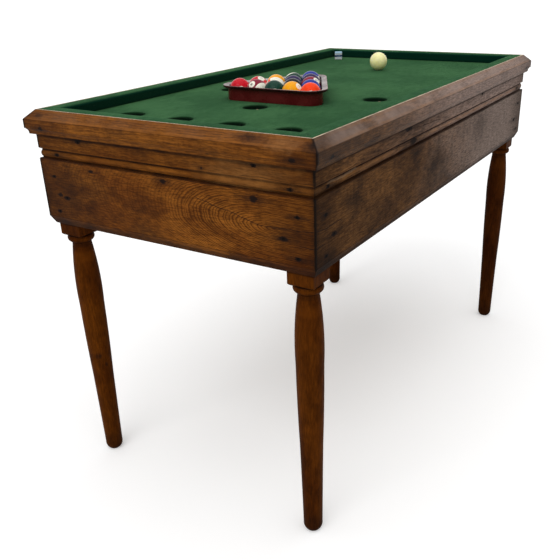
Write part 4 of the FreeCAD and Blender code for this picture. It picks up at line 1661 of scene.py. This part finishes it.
@dataclass
class Balls(Assembly):
    """Fifteen numbered pool balls, the cue ball and the chalk."""

    eye: Vector
    one_digit: float = 0.0088
    two_digits: float = 0.0074
    longest_edge: float = 0.0011

    def _ways(self, centre: Vector) -> Matrix:
        """Right, up and toward the eye, as seen from in front of a ball."""
        toward = (self.eye - centre).normalized()
        right = Vector((0, 0, 1)).cross(toward).normalized()
        return Matrix((right, toward.cross(right), toward)).transposed()

    def _flat_digits(self, number: int) -> tuple[list[Vector], list[Face]]:
        """Draw a number flat, in small faces, with a bar under 6 and 9.

        Args:
            number: The number.

        Returns:
            The points and the faces.
        """
        text = bpy.data.curves.new(f"digits_{number:02d}", "FONT")
        text.body, text.size = str(number), self.one_digit if number < 10 else self.two_digits
        text.align_x, text.align_y = "CENTER", "CENTER"
        text.space_character = 0.88
        text.offset = 0.00034
        flat = link(f"digits_{number:02d}", text)
        bpy.context.view_layer.update()
        mesh = bpy.data.meshes.new_from_object(flat.evaluated_get(bpy.context.evaluated_depsgraph_get()))
        bpy.data.objects.remove(flat)
        shape = bmesh.new()
        shape.from_mesh(mesh)
        bmesh.ops.triangulate(shape, faces=shape.faces)
        for _ in range(5):
            long = [edge for edge in shape.edges if edge.calc_length() > self.longest_edge]
            if not long:
                break
            bmesh.ops.subdivide_edges(shape, edges=long, cuts=1)
            bmesh.ops.triangulate(shape, faces=shape.faces)
        shape.verts.index_update()
        cells = [tuple(v.index for v in face.verts) for face in shape.faces]
        places = [v.co.copy() for v in shape.verts]
        if number in (6, 9):
            bar, half = len(places), 0.5 * self.one_digit
            corners = ((-0.0017, -0.0001), (0.0017, -0.0001), (0.0017, 0.0005), (-0.0017, 0.0005))
            places += [Vector((x, -half - y, 0)) for x, y in corners]
            cells.append((bar, bar + 3, bar + 2, bar + 1))
        shape.free()
        bpy.data.meshes.remove(mesh)
        return places, cells

    def _digits(self, number: int, centre: Vector, spot: Vector, up: Vector, ink: Material) -> Object:
        """Lay a number on a ball's two spots.

        Args:
            number: The ball's number.
            centre: The ball's centre.
            spot: The way to the first spot.
            up: The way that the digits stand.
            ink: The digits' finish.

        Returns:
            The two numbers as one piece.
        """
        flat_places, cells = self._flat_digits(number)
        places, faces = [], []
        for way in (spot, -spot):
            across = up.cross(way).normalized()
            stand = way.cross(across)
            start = len(places)
            for co in flat_places:
                angle = math.hypot(co.x, co.y) / BALL_RADIUS
                flatway = (across * co.x + stand * co.y).normalized() if angle > 1e-7 else across
                out = way * math.cos(angle) + flatway * math.sin(angle)
                places.append(centre + out * (BALL_RADIUS + 0.00005))
            faces += [tuple(start + i for i in cell) for cell in cells]
        return new_piece(f"ball_{number:02d}_digits", places, faces, ink, 80.0)

    def build(self) -> None:
        """Colour and number every ball, and dress the cue ball and the chalk."""
        black = ((0.012, 0.012, 0.013), (0.020, 0.019, 0.018))
        ink = PaintFinish("ball_ink", *black, 0.25, 0.0, 0.01, coat=0.3).make(self.effects)
        for number, (spot, axis) in FACING.items():
            name = f"ball_{number:02d}"
            low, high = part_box(name)
            centre = (low + high) / 2
            ways = self._ways(centre)
            spot_way = (ways @ Vector(spot)).normalized()
            axis_way = ways @ Vector(axis)
            axis_way = (axis_way - spot_way * axis_way.dot(spot_way)).normalized()
            striped = number > 8
            pattern, paint = (Pattern.STRIPE, PAINTS[number - 8]) if striped else (Pattern.SOLID, PAINTS[number])
            finish = BallFinish(f"{name}_resin", pattern, paint, tuple(centre), tuple(spot_way), tuple(axis_way))
            self.dress(finish, name, sharp=60.0)
            digits = self._digits(number, centre, spot_way, axis_way, ink)
            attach(digits, name)
        LOG.info("balls: %d numbered", len(FACING))
        low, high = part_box("cue_ball")
        middle = tuple((low + high) / 2)
        cream = BallFinish("cue_ball_cream", Pattern.PLAIN, (1.0, 0.94, 0.47), middle, shine=0.45)
        self.dress(cream, "cue_ball", sharp=60.0)
        self.dress(ChalkFinish("cue_chalk"), "chalk", sharp=35.0)
        LOG.info("cue ball and chalk dressed")


@dataclass
class Studio:
    """Camera, plain floor and soft plain light."""

    focal: float = 704.72
    centre: Pair = (298.55, 292.56)
    image: float = 560.0
    sensor: float = 36.0
    place: Point = (-1.64497, -0.92353, 1.13012)
    yaw: float = -58.22
    pitch: float = -24.64
    roll: float = -1.55
    sky: float = 0.46
    overhead: float = 1.15
    key: float = 0.95
    floor_reach: float = 60.0
    floor_tone: float = 0.86
    floor_glow: float = 0.27

    def _camera(self) -> None:
        """Put the camera at the viewpoint."""
        yaw, pitch, roll = (math.radians(angle) for angle in (self.yaw, self.pitch, self.roll))
        look = Vector((-math.sin(yaw) * math.cos(pitch), math.cos(yaw) * math.cos(pitch), math.sin(pitch)))
        right = look.cross(Vector((0, 0, 1))).normalized()
        up = right.cross(look)
        level_right = math.cos(roll) * right + math.sin(roll) * up
        level_up = -math.sin(roll) * right + math.cos(roll) * up
        data = bpy.data.cameras.new("camera")
        data.sensor_fit = "HORIZONTAL"
        data.sensor_width = self.sensor
        data.lens = self.focal / self.image * self.sensor
        data.shift_x = (self.image / 2 - self.centre[0]) / self.image
        data.shift_y = (self.centre[1] - self.image / 2) / self.image
        data.clip_end = 200.0
        camera = link("camera", data)
        turn = Matrix((level_right, level_up, -look)).transposed()
        camera.matrix_world = Matrix.Translation(self.place) @ turn.to_4x4()
        bpy.context.scene.camera = camera

    @staticmethod
    def _sun(name: str, strength: float, toward: Point, spread: float) -> None:
        """Add one soft lamp that shines along a direction.

        Args:
            name: The lamp's name.
            strength: The lamp's strength.
            toward: The way that it shines.
            spread: The light's angle, in degrees.
        """
        data = bpy.data.lights.new(name, "SUN")
        data.energy = strength
        data.angle = math.radians(spread)
        link(name, data).rotation_euler = Vector(toward).to_track_quat("-Z", "Y").to_euler()

    def _world(self) -> None:
        """Even sky light, and plain white for what the camera, mirrors and glass see."""
        world = bpy.data.worlds.new("studio")
        bpy.context.scene.world = world
        world.use_nodes = True
        graph = Graph(world.node_tree)
        back = world.node_tree.nodes["Background"]
        camera, glossy, through = (
            graph.add("LightPath", output=f"Is {ray} Ray") for ray in ("Camera", "Glossy", "Transmission")
        )
        seen = camera.most(glossy.most(through))
        graph.put(back.inputs["Strength"], seen * (1.0 - self.sky) + self.sky)
        back.inputs["Color"].default_value = (1.0, 1.0, 1.0, 1.0)

    def _floor(self) -> None:
        """Lay a pale floor that looks white where nothing shades it."""
        reach = self.floor_reach
        mesh = bpy.data.meshes.new("floor")
        corners = [(-reach, -reach, 0), (reach, -reach, 0), (reach, reach, 0), (-reach, reach, 0)]
        mesh.from_pydata(corners, [], [(0, 1, 2, 3)])
        floor = link("floor", mesh)
        made, graph, shader = new_material("floor_white")
        set_plain(shader, Base_Color=(self.floor_tone,) * 3 + (1.0,), Roughness=1.0, Specular_IOR_Level=0.0)
        set_plain(shader, Emission_Color=(1.0, 1.0, 1.0, 1.0))
        seen = graph.add("LightPath", output="Is Camera Ray")
        graph.put(shader.inputs["Emission Strength"], seen * self.floor_glow)
        mesh.materials.append(made)

    def build(self) -> None:
        """Set up the camera, lamps, sky and floor."""
        self._camera()
        self._world()
        self._floor()
        self._sun("overhead", self.overhead, (0.10, 0.08, -1.0), 70.0)
        self._sun("key", self.key, (0.75, 0.10, -0.62), 50.0)
        bpy.context.scene.view_settings.view_transform = "Standard"
        LOG.info("studio ready")


def main() -> None:
    """Build the classes in order."""
    logging.basicConfig(level=logging.INFO, format="%(name)s: %(message)s", force=True)
    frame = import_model()
    nodes = frame["nodes"]
    studio = Studio()
    studio.build()
    effects = Effects()
    Carcass(effects, nodes).build()
    Bed(effects, nodes).build()
    Cushions(effects, nodes).build()
    Rack(effects, nodes).build()
    Balls(effects, nodes, Vector(studio.place)).build()


if __name__ == "__main__":
    main()
